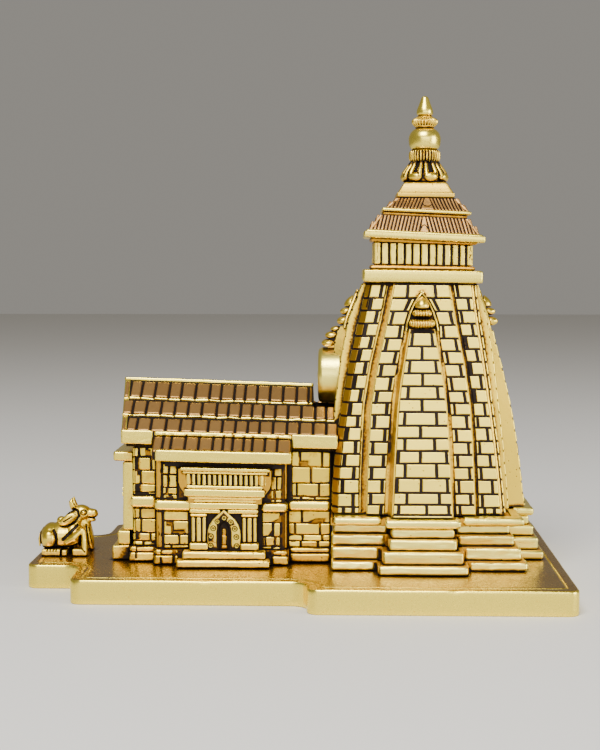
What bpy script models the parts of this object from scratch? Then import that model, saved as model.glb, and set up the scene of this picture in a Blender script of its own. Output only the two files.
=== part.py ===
"""Brass table model of a Himalayan hill temple: a tiled hall, a curved brick tower, a resting bull and a stepped plate.

Lengths are in millimetres in the source and turned into metres where vertices are made.
The origin is the centre of the plate's underside, +X runs from the hall to the tower, -Y is the front side, +Z is up.
"""
import math

import bmesh
import bpy
from mathutils import Matrix, Vector

MM = 0.001
FIT = 0.3                      # clearance between two pieces that rest on each other

# Base plate
PLATE_LENGTH = 203.0
PLATE_THICK = 9.2
PLATE_TONGUE_HALF = 31.2       # half width of the tongue under the bull
PLATE_HALL_STEP = 26.0         # how far the hall part reaches out beyond the tongue
PLATE_TOWER_STEP = 13.1        # how far the tower part reaches out beyond the hall part
PLATE_HALL_HALF = PLATE_TONGUE_HALF + PLATE_HALL_STEP
PLATE_TOWER_HALF = PLATE_HALL_HALF + PLATE_TOWER_STEP
PLATE_TONGUE_LENGTH = 20.9
PLATE_TOWER_LENGTH = 95.7
PLATE_TONGUE_X = PLATE_TONGUE_LENGTH - PLATE_LENGTH / 2
PLATE_STEP_X = PLATE_LENGTH / 2 - PLATE_TOWER_LENGTH
PLATE_OUTER_RADIUS = 0.31 * PLATE_TOWER_STEP
PLATE_INNER_RADIUS = 0.48 * PLATE_TOWER_STEP
PLATE_EDGE_ROUND = 0.9
PLATE_LINE_INSET = 3.8         # engraved line that follows the outline
PLATE_LINE_WIDTH = 0.7
PLATE_LINE_DEPTH = 0.4

# Tower
TOWER_X = 47.8                 # axis of the tower
TOWER_CUT = 33.9               # plinth half width on the hall side, where it stands against the hall
PLINTH_LEVELS = (              # bottom, top, corner half width, middle half width, middle reach
    (9.2, 12.8, 39.3, 16.5, 48.3),
    (12.8, 17.7, 36.9, 14.9, 46.3),
    (17.7, 22.0, 34.6, 12.6, 44.6),
    (22.0, 25.8, 33.1, 11.7, 43.0),
)
SILL = (25.8, 29.2, 37.9, 13.7, 44.4)
BODY_Z = (29.2, 42.0, 55.0, 70.0, 86.0, 101.5, 115.6)
BODY_CORNER = (31.7, 30.5, 29.1, 27.1, 24.9, 22.5, 20.7)       # half width to the corner bands
BODY_BAND = (34.1, 33.0, 31.8, 30.0, 28.2, 26.0, 22.2)         # reach of the intermediate bands
BODY_LEFT_OUT = (2.3, 3.1, 3.2, 3.1, 2.5, 1.3, 0.1)            # how much further the corners on the hall side stand out
BODY_HALL_BAND_OUT = (-0.1, 1.0, 2.1, 2.9, 2.7, 1.9, 0.2)      # the same for the band on the hall side
BODY_BEVEL = (2.4, 1.0, 1.0, 2.4)                              # bevel of the corners, from the front left one
BODY_BAND_HALF = (20.2, 19.8, 19.2, 18.3, 16.0, 12.9, 10.6)    # half width of the intermediate bands
BODY_GROOVE = 1.5              # width of the groove beside each intermediate band
BODY_GROOVE_DEPTH = 1.1
RIB_Z = (29.2, 36.0, 47.0, 59.0, 70.0, 79.0, 88.0, 94.0, 98.6)
RIB_REACH = (41.4, 40.4, 39.1, 37.4, 35.4, 33.4, 31.1, 29.6, 28.4)
RIB_HALF = (11.4, 11.0, 10.5, 9.9, 9.15, 8.1, 6.6, 5.6, 4.8)
RIB_FLARE = 2.2                # how much wider a rib is where it meets the body
RIB_HALL_FROM = 79.0           # on the hall side the rib starts above the hall roof
RIB_HALL_OUT = (0.0, 0.0, 0.0, 0.0, 0.0, 0.0, 2.3, 3.5, 3.0)   # how much further out it stands there
CROWN = (                      # height, half width, reach of the tiers that end each rib
    (98.6, 4.2, 29.4), (99.3, 4.9, 30.7), (101.8, 4.9, 30.7), (102.5, 4.0, 29.0),
    (103.1, 3.6, 29.9), (105.6, 3.4, 29.4), (106.3, 2.5, 27.8), (107.2, 2.5, 28.1),
    (109.0, 2.1, 27.2), (110.8, 0.7, 25.6),
)
MEDALLION_Z = 79.2
MEDALLION_RADIUS = 10.9
MEDALLION_REACH = 39.7
MEDALLION_ROWS = ((2.1, 0.0), (0.9, 1.0), (0.3, 2.6), (0.0, 4.6))   # depth behind the face, step in from the rim
HALL_CROWN_BACK = 27.0
HALL_CROWN = (                 # tiers above the medallion
    (90.3, 5.2, 36.5), (90.9, 6.0, 38.3), (93.1, 5.8, 38.0), (93.7, 4.8, 36.0),
    (94.2, 4.6, 36.7), (96.0, 4.2, 36.2), (96.6, 3.2, 34.4), (97.4, 3.0, 34.6), (98.3, 2.0, 33.2),
)

# Top of the tower
CAP_SLAB = (115.6, 120.6, 22.6)
NECK_MOULD = (120.6, 122.2, 20.3)
LOGGIA = (122.2, 130.6, 18.9)
LOGGIA_BARS = 13
LOGGIA_BAR_DEPTH = 0.9
SOFFIT = (130.6, 131.9, 20.0)
LOWER_ROOF = (131.9, 134.7, 141.0, 22.7, 16.6)   # bottom, eave top, top, eave half, top half
ROOF_NECK = (141.0, 142.0, 15.9)
UPPER_ROOF = (142.0, 143.6, 148.2, 16.9, 11.3)
ROOF_CAP = (148.2, 150.0, 154.2, 11.0, 8.1)
FINIAL_SHIFT = 1.9             # the roof cap and the finial stand a little to one side
COLLAR = (154.2, 162.2, 9.8, 5.0)
COLLAR_LOOPS = 8
FINIAL_RING_LOW = (162.2, 166.9, 6.1)
FINIAL_BALL = (166.9, 175.4, 6.2)
FINIAL_RING_HIGH = (175.4, 180.1, 5.1)
FINIAL_TIP = (180.1, 187.6, 3.2, 1.4)

# Hall
HALL_LEFT = -62.2
HALL_RIGHT = 13.5
HALL_SINK = 0.036              # how much the hall's courses close up towards the tower
WALL_HALF = 23.5               # half depth over the corner piers
PIER_HALF = 29.0               # half depth over the intermediate piers
NICHE_HALF = PIER_HALF         # wall behind the niche
NICHE_OUT = 2.6                # how far the niche's back panel stands out from that wall
BASE_OUT = (8.2, 6.4)          # the same for its steps
PILASTER_OUT = 3.4
BAND_OUT = (3.8, 4.4, 5.2)     # the same for the stepped bands
BALUSTER_OUT = 4.6
CORNICE_OUT = 5.4
PORCH_OUT = 7.8
EAVE_OUT = 4.7                 # how far the eaves stand out from the wall
FRAME_IN = 2.7                 # how far the front frame is set in from the wall's corner
PIER_NEAR_X = (-52.4, -39.5)
PIER_FAR_X = (-12.0, -3.0)
FOOT_Z = (9.2, 13.1, 15.2)
STRING_Z = (29.7, 33.7)
WALL_TOP = 53.6
FOOT_OUT = 2.2                 # how far the footing stands out from the wall
STRING_OUT = 1.2
STEP_X = ((-44.0, -9.0), (-42.0, -10.6))
STEP_Y = (PIER_HALF + BASE_OUT[0], PIER_HALF + BASE_OUT[1])
STEP_Z = (9.2, 12.2, 15.3)
PILASTER_X = ((-38.8, -32.9), (-19.6, -13.8))
PILASTER_Y = PIER_HALF + PILASTER_OUT
PILASTER_Z = (15.3, 29.9)
ARCH_Y = PIER_HALF + NICHE_OUT   # face of the panel between the pilasters
RECESS_HALF = 2.5
RECESS_Z = (18.4, 27.2)
RECESS_DEPTH = 1.6
LINTEL = (                     # height, left, right, reach of the stepped bands over the niche
    (29.9, -39.3, -13.4, PIER_HALF + BAND_OUT[0]), (33.4, -39.3, -13.4, PIER_HALF + BAND_OUT[0]),
    (33.4, -38.6, -13.0, PIER_HALF + BAND_OUT[1]), (36.2, -38.6, -13.0, PIER_HALF + BAND_OUT[1]),
    (36.2, -40.6, -11.4, PIER_HALF + BAND_OUT[2]), (40.4, -40.6, -11.4, PIER_HALF + BAND_OUT[2]),
)
BALUSTER_Z = (40.4, 44.9)
BALUSTER_COUNT = 14
BALUSTER_X = (-39.6, -10.4)
BALUSTER_Y = PIER_HALF + BALUSTER_OUT
BALUSTER_DEPTH = 0.9
CORNICE_Z = (44.9, 47.2)
CORNICE_X = (-42.6, -8.9)
CORNICE_Y = PIER_HALF + CORNICE_OUT
BEAM_X = (-48.6, -3.4)         # beam between the cornice and the porch roof
BEAM_Y = PIER_HALF + NICHE_OUT

# Hall front
FRONT_STEP = ((9.2, 15.0, -70.5, 22.4), (15.0, 20.6, -68.6, 21.0))
FRONT_FRAME_X = -66.4
FRONT_FRAME_Z = (20.6, 47.3)
FRONT_FRAME_HALF = WALL_HALF - FRAME_IN
FRONT_DOOR_HALF = 6.0
FRONT_DOOR_Z = (20.6, 38.0)
FRONT_DOOR_DEPTH = 1.8
FRONT_BAR = (47.3, 51.2, -69.8, 21.8)

# Hall roof
EAVE_Y = WALL_HALF + EAVE_OUT
EAVE_Z = (54.8, 60.0)          # bottom and top of the eave board
RIDGE_Z = 78.2
RIDGE_LEFT = -68.0
EAVE_LEFT = -65.7
GABLE_VERGE = 3.0              # width of the verge round the recessed gable
GABLE_DEPTH = 1.4
ROOF_RIGHT = 16.4
RIDGE_RIGHT = 6.6
DRUM_NOTCH_HALF = 12.6
PORCH_X = (-51.3, -0.5)
PORCH_Y = PIER_HALF + PORCH_OUT
PORCH_Z = (50.3, 54.4)         # bottom and top of the porch board
PORCH_JOIN_Z = 59.6
PORCH_UNDER = 49.5

# Bull
BULL_LENGTH = 23.0
BULL_UNIT = BULL_LENGTH / 23.0
BULL_FROM_END = 10.9
BULL_Y = -5.0                  # the bull sits a little towards the front
BULL = Vector((BULL_FROM_END - PLATE_LENGTH / 2, BULL_Y, PLATE_THICK))

FIT_HALF = FIT / 2


def material(name, colour, roughness, metallic=1.0):
    mat = bpy.data.materials.new(name)
    mat.use_nodes = True
    shader = mat.node_tree.nodes["Principled BSDF"]
    shader.inputs["Base Color"].default_value = (*colour, 1.0)
    shader.inputs["Roughness"].default_value = roughness
    shader.inputs["Metallic"].default_value = metallic
    mat.diffuse_color = (*colour, 1.0)
    return mat


PALE = (0.78, 0.62, 0.30)
WARM = (0.66, 0.47, 0.17)
BROWN = (0.42, 0.28, 0.11)


def finish(name, bm, colour, roughness=0.35, smooth=None):
    """Turns a bmesh in millimetres into a named object with its own material."""
    bmesh.ops.recalc_face_normals(bm, faces=bm.faces)
    bmesh.ops.scale(bm, vec=Vector((MM, MM, MM)), verts=bm.verts)
    mesh = bpy.data.meshes.new(name)
    bm.to_mesh(mesh)
    bm.free()
    obj = bpy.data.objects.new(name, mesh)
    bpy.context.scene.collection.objects.link(obj)
    mesh.materials.append(material(name + "_brass", colour, roughness))
    if smooth is not None:
        mesh.shade_smooth()
        mesh.set_sharp_from_angle(angle=math.radians(smooth))
    return obj


def loft(bm, rings):
    """Joins rings of equal length into one closed solid."""
    loops = [[bm.verts.new(p) for p in ring] for ring in rings]
    count = len(rings[0])
    for low, high in zip(loops, loops[1:]):
        for i in range(count):
            j = (i + 1) % count
            bm.faces.new((low[i], low[j], high[j], high[i]))
    bm.faces.new(list(reversed(loops[0])))
    bm.faces.new(loops[-1])


def prism(bm, outline, low, high, inset=0.0):
    """A solid over an outline in plan, from one height to another."""
    top = inset_outline(outline, inset) if inset else outline
    loft(bm, [[(x, y, low) for x, y in outline], [(x, y, high) for x, y in top]])


def box(bm, x, y, z):
    loft(bm, [[(a, b, h) for a, b in ((x[0], y[0]), (x[1], y[0]), (x[1], y[1]), (x[0], y[1]))] for h in z])


def turned(bm, profile, centre, segments=32):
    """A turned solid from (height, radius) pairs."""
    turn = [2 * math.pi * i / segments for i in range(segments)]
    loft(bm, [[(centre[0] + r * math.cos(a), centre[1] + r * math.sin(a), z) for a in turn] for z, r in profile])


def inset_outline(outline, amount):
    """Moves every edge of a counter-clockwise outline inwards by the same amount."""
    points = [Vector(p) for p in outline]
    result = []
    for i, point in enumerate(points):
        before = (point - points[i - 1]).normalized()
        after = (points[(i + 1) % len(points)] - point).normalized()
        n0, n1 = Vector((-before.y, before.x)), Vector((-after.y, after.x))
        mitre = n0 + n1
        result.append(tuple(point + mitre * (amount / max(mitre.dot(n0), 0.2))))
    return result


def rounded(corners, steps=4):
    """Rounds each (x, y, radius) corner, inner or outer, with an arc."""
    outline = []
    for i, (x, y, radius) in enumerate(corners):
        here = Vector((x, y))
        to_last = (Vector(corners[i - 1][:2]) - here).normalized()
        to_next = (Vector(corners[(i + 1) % len(corners)][:2]) - here).normalized()
        start, end = here + to_last * radius, here + to_next * radius
        centre = here + (to_last + to_next) * radius
        for k in range(steps + 1):
            angle = 0.5 * math.pi * k / steps
            outline.append(tuple(centre - to_next * radius * math.cos(angle) - to_last * radius * math.sin(angle)))
    return outline


def both_sides(half):
    """Completes an outline given along the front side (rising x) with its mirror image behind."""
    return half + [(x, -y) for x, y in reversed(half)]


def sink_hall(bm):
    """Closes the hall's courses up a little towards the tower, as on the casting."""
    for v in bm.verts:
        v.co.z -= max(v.co.z - PLATE_THICK, 0.0) * HALL_SINK * (v.co.x - HALL_LEFT) / (HALL_RIGHT - HALL_LEFT)
    bmesh.ops.triangulate(bm, faces=[f for f in bm.faces if len(f.verts) == 4])


def sink_object(obj):
    """Sinks a finished hall piece whose shape needed a Boolean first."""
    bm = bmesh.new()
    bm.from_mesh(obj.data)
    bmesh.ops.scale(bm, vec=Vector((1 / MM, 1 / MM, 1 / MM)), verts=bm.verts)
    sink_hall(bm)
    bmesh.ops.triangulate(bm, faces=bm.faces)
    bmesh.ops.scale(bm, vec=Vector((MM, MM, MM)), verts=bm.verts)
    bm.to_mesh(obj.data)
    bm.free()


def boolean(target, others, operation):
    """Joins or cuts solids and keeps one closed mesh; the other objects are used up."""
    for other in others:
        mod = target.modifiers.new(operation.title(), "BOOLEAN")
        mod.operation, mod.solver, mod.object = operation, "EXACT", other
    bpy.context.view_layer.update()
    graph = bpy.context.evaluated_depsgraph_get()
    mesh = bpy.data.meshes.new_from_object(target.evaluated_get(graph))
    target.modifiers.clear()
    old, name = target.data, target.name
    target.data = mesh
    bpy.data.meshes.remove(old)
    mesh.name = name
    for other in others:
        bpy.data.objects.remove(other)
    return target


def solid(build, *args, **kwargs):
    """A loose helper solid for a Boolean."""
    bm = bmesh.new()
    build(bm, *args, **kwargs)
    return finish("helper", bm, WARM)


# Base plate
def plate_outline(inset=0.0):
    """Stepped outline of the plate, or a line that follows it further in."""
    outer, inner = max(PLATE_OUTER_RADIUS - inset, 0.4 * PLATE_OUTER_RADIUS), PLATE_INNER_RADIUS + inset
    end = PLATE_LENGTH / 2 - inset
    tongue, hall, tower = PLATE_TONGUE_HALF - inset, PLATE_HALL_HALF - inset, PLATE_TOWER_HALF - inset
    at_tongue, at_step = PLATE_TONGUE_X + inset, PLATE_STEP_X + inset
    half = [(-end, -tongue, outer), (at_tongue, -tongue, inner), (at_tongue, -hall, outer),
            (at_step, -hall, inner), (at_step, -tower, outer), (end, -tower, outer)]
    return rounded(half + [(x, -y, r) for x, y, r in reversed(half)])


def base_plate():
    bm = bmesh.new()
    edge = PLATE_EDGE_ROUND
    rings = [(0.0, edge * 0.5), (edge * 0.5, 0.0), (PLATE_THICK - edge, 0.0),
             (PLATE_THICK - edge * 0.3, edge * 0.3), (PLATE_THICK, edge)]
    loft(bm, [[(x, y, z) for x, y in plate_outline(s)] for z, s in rings])
    plate = finish("base_plate", bm, PALE, 0.28)
    line = bmesh.new()
    outside, inside = plate_outline(PLATE_LINE_INSET), plate_outline(PLATE_LINE_INSET + PLATE_LINE_WIDTH)
    low, high = PLATE_THICK - PLATE_LINE_DEPTH, PLATE_THICK + 1.0
    ring = [[line.verts.new((x, y, z)) for x, y in path] for path, z in
            ((outside, low), (outside, high), (inside, high), (inside, low))]
    count = len(outside)
    for a, b in zip(ring, ring[1:] + ring[:1]):
        for i in range(count):
            j = (i + 1) % count
            line.faces.new((a[i], a[j], b[j], b[i]))
    boolean(plate, [finish("helper", line, WARM)], "DIFFERENCE")


# Hall
def wall_outline(out=0.0, right=HALL_RIGHT):
    """Plan of the hall wall with its piers, moved outwards for footings and string courses."""
    wall, pier = WALL_HALF + out, PIER_HALF + out
    near, far = PIER_NEAR_X, PIER_FAR_X
    half = [(HALL_LEFT - out * 0.7, -wall), (near[0] - out * 0.4, -wall), (near[0] - out * 0.4, -pier),
            (far[1] + out * 0.4, -pier), (far[1] + out * 0.4, -wall), (right, -wall)]
    return both_sides(half)


def hall():
    gap = FIT_HALF
    bm = bmesh.new()
    low, joint, high = FOOT_Z
    rows = ((low + gap, FOOT_OUT), (joint - 0.3, FOOT_OUT), (joint - 0.2, FOOT_OUT - 0.8), (joint + 0.1, FOOT_OUT - 0.8),
            (joint + 0.2, FOOT_OUT - 0.3), (high - gap, FOOT_OUT - 0.5))
    loft(bm, [[(x, y, z) for x, y in wall_outline(out)] for z, out in rows])
    sink_hall(bm)
    finish("hall_footing", bm, WARM)
    layers = (
        ("hall_wall_lower", FOOT_Z[2] + gap, STRING_Z[0] - gap, 0.0),
        ("hall_string_course", STRING_Z[0] + gap, STRING_Z[1] - gap, STRING_OUT),
        ("hall_wall_upper", STRING_Z[1] + gap, WALL_TOP - gap, 0.0),
    )
    for name, low, high, out in layers:
        bm = bmesh.new()
        outline = wall_outline(out)
        if name == "hall_string_course":
            # the string course stops at the niche, where the wall behind runs through
            near, far = PIER_NEAR_X[1], PIER_FAR_X[0]
            back = NICHE_HALF
            half = outline[:3] + [(near, outline[2][1]), (near, -back), (far, -back), (far, outline[2][1])] + outline[3:6]
            outline = both_sides(half)
        prism(bm, outline, low, high)
        sink_hall(bm)
        finish(name, bm, WARM)


def side(bm, sign):
    """Turns a front-side solid into the one behind."""
    if sign > 0:
        for v in bm.verts:
            v.co.y = -v.co.y
        bmesh.ops.reverse_faces(bm, faces=bm.faces)


def niche(tag, sign):
    gap = FIT_HALF
    back = -(NICHE_HALF + FIT)
    foot_back = -(PIER_HALF + FOOT_OUT + FIT)

    bm = bmesh.new()
    (l0, r0), (l1, r1) = STEP_X
    z0, z1, z2 = STEP_Z
    box(bm, (l0, r0), (-STEP_Y[0], foot_back), (z0 + gap, z1))
    upper = bmesh.new()
    box(upper, (l1, r1), (-STEP_Y[1], foot_back - 0.1), (z1 - 0.5, z2 - gap))
    side(bm, sign)
    side(upper, sign)
    steps = finish("niche_steps_" + tag, bm, PALE)
    boolean(steps, [finish("helper", upper, PALE)], "UNION")
    sink_object(steps)

    frame = []
    low, high = PILASTER_Z[0] + gap, PILASTER_Z[1] - gap
    profile = ((low, 1.0), (low + 2.6, 1.0), (low + 3.0, 0.0), (high - 1.6, 0.0), (high - 1.2, 0.5), (high, 0.5))
    for left, right in PILASTER_X:
        bm = bmesh.new()
        loft(bm, [[(left - o * 0.6, -(PILASTER_Y + o), z), (right + o * 0.6, -(PILASTER_Y + o), z),
                   (right + o * 0.6, back, z), (left - o * 0.6, back, z)] for z, o in profile])
        side(bm, sign)
        frame.append(finish("helper", bm, WARM))
    bm = bmesh.new()
    left, right = PILASTER_X[0][1] - 0.6, PILASTER_X[1][0] + 0.6
    box(bm, (left, right), (-ARCH_Y, back - 0.1), (low + 0.1, high - 0.1))
    side(bm, sign)
    panel = finish("niche_frame_" + tag, bm, WARM)
    boolean(panel, frame, "UNION")
    hole = bmesh.new()
    mid = (left + right) / 2
    arc = [math.pi * k / 8 for k in range(9)]
    opening = [(mid - RECESS_HALF, RECESS_Z[0]), (mid + RECESS_HALF, RECESS_Z[0])]
    opening += [(mid + RECESS_HALF * math.cos(a), RECESS_Z[1] - RECESS_HALF + RECESS_HALF * math.sin(a)) for a in arc]
    loft(hole, [[(x, y, z) for x, z in opening] for y in (-ARCH_Y - 1.0, -ARCH_Y + RECESS_DEPTH)])
    side(hole, sign)
    boolean(panel, [finish("helper", hole, BROWN)], "DIFFERENCE")
    sink_object(panel)

    bm = bmesh.new()
    bottom = LINTEL[0][0] + gap
    rings = []
    for z, left, right, reach in LINTEL:
        z = min(max(z, bottom), BALUSTER_Z[0] - gap)
        rings.append([(left, -reach, z), (right, -reach, z), (right, back, z), (left, back, z)])
    spread = []
    for i, ring in enumerate(rings):
        lift = 0.2 if i in (2, 4) else 0.0
        spread.append([(x, y, z + lift) for x, y, z in ring])
    loft(bm, spread)
    side(bm, sign)
    sink_hall(bm)
    finish("lintel_" + tag, bm, PALE)

    bm = bmesh.new()
    low, high = BALUSTER_Z[0] + gap, BALUSTER_Z[1] - gap
    left, right = BALUSTER_X
    pitch = (right - left) / BALUSTER_COUNT
    front, deep = -BALUSTER_Y, -BALUSTER_Y + BALUSTER_DEPTH
    outline = [(left, back), (left, deep)]
    for k in range(BALUSTER_COUNT):
        a = left + pitch * (k + 0.18)
        b = left + pitch * (k + 0.82)
        outline += [(a, deep), (a, front), (b, front), (b, deep)]
    outline += [(right, deep), (right, back)]
    prism(bm, outline, low, high)
    side(bm, sign)
    sink_hall(bm)
    finish("baluster_row_" + tag, bm, PALE)

    bm = bmesh.new()
    rows = ((CORNICE_Z[0] + gap, CORNICE_X, CORNICE_Y), (CORNICE_Z[1], CORNICE_X, CORNICE_Y),
            (CORNICE_Z[1] + 0.3, BEAM_X, BEAM_Y), (PORCH_UNDER - gap, BEAM_X, BEAM_Y))
    loft(bm, [[(x[0], -y, z), (x[1], -y, z), (x[1], back, z), (x[0], back, z)] for z, x, y in rows])
    side(bm, sign)
    sink_hall(bm)
    finish("cornice_" + tag, bm, PALE)


def hall_front():
    gap = FIT_HALF
    (low, mid, left0, half0), (_, high, left1, half1) = FRONT_STEP
    foot = HALL_LEFT - FOOT_OUT * 0.7 - FIT
    bm = bmesh.new()
    rows = ((low + gap, left0, half0), (mid, left0, half0), (mid + 0.2, left1, half1), (high - gap, left1, half1))
    loft(bm, [[(left, -half, z), (foot, -half, z), (foot, half, z), (left, half, z)] for z, left, half in rows])
    sink_hall(bm)
    finish("front_step", bm, PALE)
    wall = HALL_LEFT - FIT
    bm = bmesh.new()
    box(bm, (FRONT_FRAME_X, wall), (-FRONT_FRAME_HALF, FRONT_FRAME_HALF), (FRONT_FRAME_Z[0] + gap, STRING_Z[0] - gap))
    lower = finish("front_frame", bm, PALE)
    bm = bmesh.new()
    string_wall = HALL_LEFT - STRING_OUT * 0.7 - FIT
    box(bm, (FRONT_FRAME_X, string_wall), (-FRONT_FRAME_HALF, FRONT_FRAME_HALF), (STRING_Z[0] - 1.0, STRING_Z[1] + 1.0))
    middle = finish("helper", bm, PALE)
    bm = bmesh.new()
    box(bm, (FRONT_FRAME_X, wall), (-FRONT_FRAME_HALF, FRONT_FRAME_HALF), (STRING_Z[1] + gap, FRONT_FRAME_Z[1] - gap))
    boolean(lower, [middle, finish("helper", bm, PALE)], "UNION")
    door = bmesh.new()
    half, (low, high) = FRONT_DOOR_HALF, FRONT_DOOR_Z
    arc = [math.pi * k / 10 for k in range(11)]
    opening = [(-half, low - 1.0), (half, low - 1.0)]
    opening += [(half * math.cos(a), high - half + half * math.sin(a)) for a in arc]
    loft(door, [[(x, y, z) for y, z in opening] for x in (FRONT_FRAME_X - 1.0, FRONT_FRAME_X + FRONT_DOOR_DEPTH)])
    boolean(lower, [finish("helper", door, BROWN)], "DIFFERENCE")
    sink_object(lower)

    low, high, left, half = FRONT_BAR
    bm = bmesh.new()
    box(bm, (left, wall), (-half, half), (low + gap, high - gap))
    sink_hall(bm)
    finish("front_bar", bm, PALE)


def roof_section(x_ridge, x_eave, top=RIDGE_Z):
    """Cross section of the hall roof: eave board, slope and ridge."""
    low, high = EAVE_Z
    under = WALL_TOP + FIT_HALF
    lip = EAVE_Y - 2.2
    return [(x_eave, -EAVE_Y, low), (x_eave, -EAVE_Y, high), (x_ridge, -0.8, top), (x_ridge, 0.8, top),
            (x_eave, EAVE_Y, high), (x_eave, EAVE_Y, low), (x_eave, lip, under), (x_eave, -lip, under)]


def hall_roof():
    bm = bmesh.new()
    loft(bm, [roof_section(RIDGE_LEFT, EAVE_LEFT), roof_section(ROOF_RIGHT, ROOF_RIGHT)])
    roof = finish("hall_roof", bm, WARM)
    notch = solid(box, (RIDGE_RIGHT, 40.0), (-DRUM_NOTCH_HALF, DRUM_NOTCH_HALF), (40.0, 90.0))
    boolean(roof, [notch], "DIFFERENCE")
    gable = bmesh.new()
    side_half, foot = EAVE_Y - 2.0 * GABLE_VERGE, EAVE_Z[1] - GABLE_VERGE
    peak = RIDGE_Z - 1.4 * GABLE_VERGE
    loft(gable, [[(x_foot, -side_half, foot), (x_foot, side_half, foot), (x_peak, 0.0, peak)] for x_foot, x_peak in
                 ((EAVE_LEFT - GABLE_VERGE, RIDGE_LEFT - GABLE_VERGE), (EAVE_LEFT + GABLE_DEPTH, RIDGE_LEFT + GABLE_DEPTH))])
    boolean(roof, [finish("helper", gable, BROWN)], "DIFFERENCE")
    sink_object(roof)
    boolean(roof, [solid(body_space), solid(band_space)], "DIFFERENCE")


def porch_roof(tag, sign):
    """The lower roof over the niche: its slope carries on from the main eave."""
    bm = bmesh.new()
    left, right = PORCH_X
    board = -(EAVE_Y + FIT)
    under = -(PIER_HALF + 0.6)
    section = [(-PORCH_Y, PORCH_Z[0]), (-PORCH_Y, PORCH_Z[1]), (board, PORCH_JOIN_Z - 1.0),
               (board, WALL_TOP + FIT), (under, WALL_TOP + FIT), (under, PORCH_UNDER + FIT_HALF)]
    loft(bm, [[(x, y, z) for y, z in section] for x in (left, right)])
    side(bm, sign)
    sink_hall(bm)
    finish("porch_roof_" + tag, bm, WARM)


# Tower
def plan(corner, half, reach, cut=None):
    """Stepped plan of a tower layer: a square with a projection on each side, cut flush on the hall side."""
    points = [(-corner, -corner), (-half, -corner), (-half, -reach), (half, -reach), (half, -corner), (corner, -corner),
              (corner, -half), (reach, -half), (reach, half), (corner, half), (corner, corner),
              (half, corner), (half, reach), (-half, reach), (-half, corner), (-corner, corner)]
    if cut is None:
        points += [(-corner, half), (-reach, half), (-reach, -half), (-corner, -half)]
    else:
        points = [(max(x, -cut), y) for x, y in points]
    return [(TOWER_X + x, y) for x, y in points]


def tower_plinth():
    gap = FIT_HALF
    names = ("plinth_foot", "plinth_step", "plinth_neck", "plinth_top")
    for name, (low, high, corner, half, reach) in zip(names, PLINTH_LEVELS):
        bm = bmesh.new()
        prism(bm, plan(corner, half, reach, min(TOWER_CUT, corner)), low + gap, high - gap)
        finish(name, bm, WARM)
    low, high, corner, half, reach = SILL
    bm = bmesh.new()
    prism(bm, plan(corner, half, reach, TOWER_CUT - 0.8), low + gap, high - gap)
    finish("tower_sill", bm, PALE)


def body_ring(z):
    """Plan of the tower body with bevelled corners and a groove beside each intermediate band."""
    corner, half, out = body_at(z, BODY_CORNER), body_at(z, BODY_BAND_HALF), body_at(z, BODY_LEFT_OUT)
    groove, inner = BODY_GROOVE, corner - BODY_GROOVE_DEPTH
    ring = []
    for turn, bevel in enumerate(BODY_BEVEL):
        band = body_at(z, BODY_BAND) + (body_at(z, BODY_HALL_BAND_OUT) - out if turn == 3 else 0.0)
        quarter = [(-corner, -corner + bevel), (-corner + bevel, -corner), (-half - groove, -corner), (-half - groove, -inner),
                   (-half, -inner), (-half, -band), (half, -band), (half, -inner), (half + groove, -inner),
                   (half + groove, -corner)]
        c, s = (1, 0, -1, 0)[turn], (0, 1, 0, -1)[turn]
        for x, y in quarter:
            across, along = x * c - y * s, x * s + y * c
            if across < 0.0:
                across -= out * min(1.0, -across / corner) ** 3
            ring.append((TOWER_X + across, along, z))
    return ring


def body_space(bm):
    """The room of the tower's corners beside the hall roof, with their clearance."""
    rows = []
    for z in (50.0, 55.0, 62.0, 70.0, 86.0, 92.0):
        corner, left = body_at(z, BODY_CORNER) + FIT, body_at(z, BODY_CORNER) + body_at(z, BODY_LEFT_OUT) + FIT
        bevel = BODY_BEVEL[0] + 0.4 * FIT
        rows.append([(TOWER_X - left, -corner + bevel, z), (TOWER_X - left + bevel, -corner, z), (TOWER_X, -corner, z),
                     (TOWER_X, corner, z), (TOWER_X - left + bevel, corner, z), (TOWER_X - left, corner - bevel, z)])
    loft(bm, rows)


def band_space(bm):
    """The room of the tower's band beside the hall roof, with its clearance."""
    rows = []
    for z in (50.0, 55.0, 62.0, 70.0, 86.0, 92.0):
        reach, half = body_at(z, BODY_BAND) + body_at(z, BODY_HALL_BAND_OUT) + FIT, body_at(z, BODY_BAND_HALF) + FIT
        rows.append([(TOWER_X - reach, -half, z), (TOWER_X, -half, z), (TOWER_X, half, z), (TOWER_X - reach, half, z)])
    loft(bm, rows)


def body_at(z, values):
    """Value of a body profile at a height, straight between its stations."""
    for (z0, v0), (z1, v1) in zip(zip(BODY_Z, values), zip(BODY_Z[1:], values[1:])):
        if z <= z1:
            return v0 + (v1 - v0) * (z - z0) / (z1 - z0)
    return values[-1]


def quarter_turn(bm, turn):
    """Carries a solid modelled on the front face of the tower to another face."""
    bmesh.ops.rotate(bm, verts=bm.verts, cent=(TOWER_X, 0.0, 0.0), matrix=Matrix.Rotation(math.pi / 2 * turn, 3, "Z"))


def face_ring(z, half, reach, flare=0.0, out=0.0):
    back, wide = body_at(z, BODY_BAND) + out + FIT, half + flare
    return [(TOWER_X - half, -reach, z), (TOWER_X + half, -reach, z), (TOWER_X + wide, -back, z), (TOWER_X - wide, -back, z)]


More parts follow.
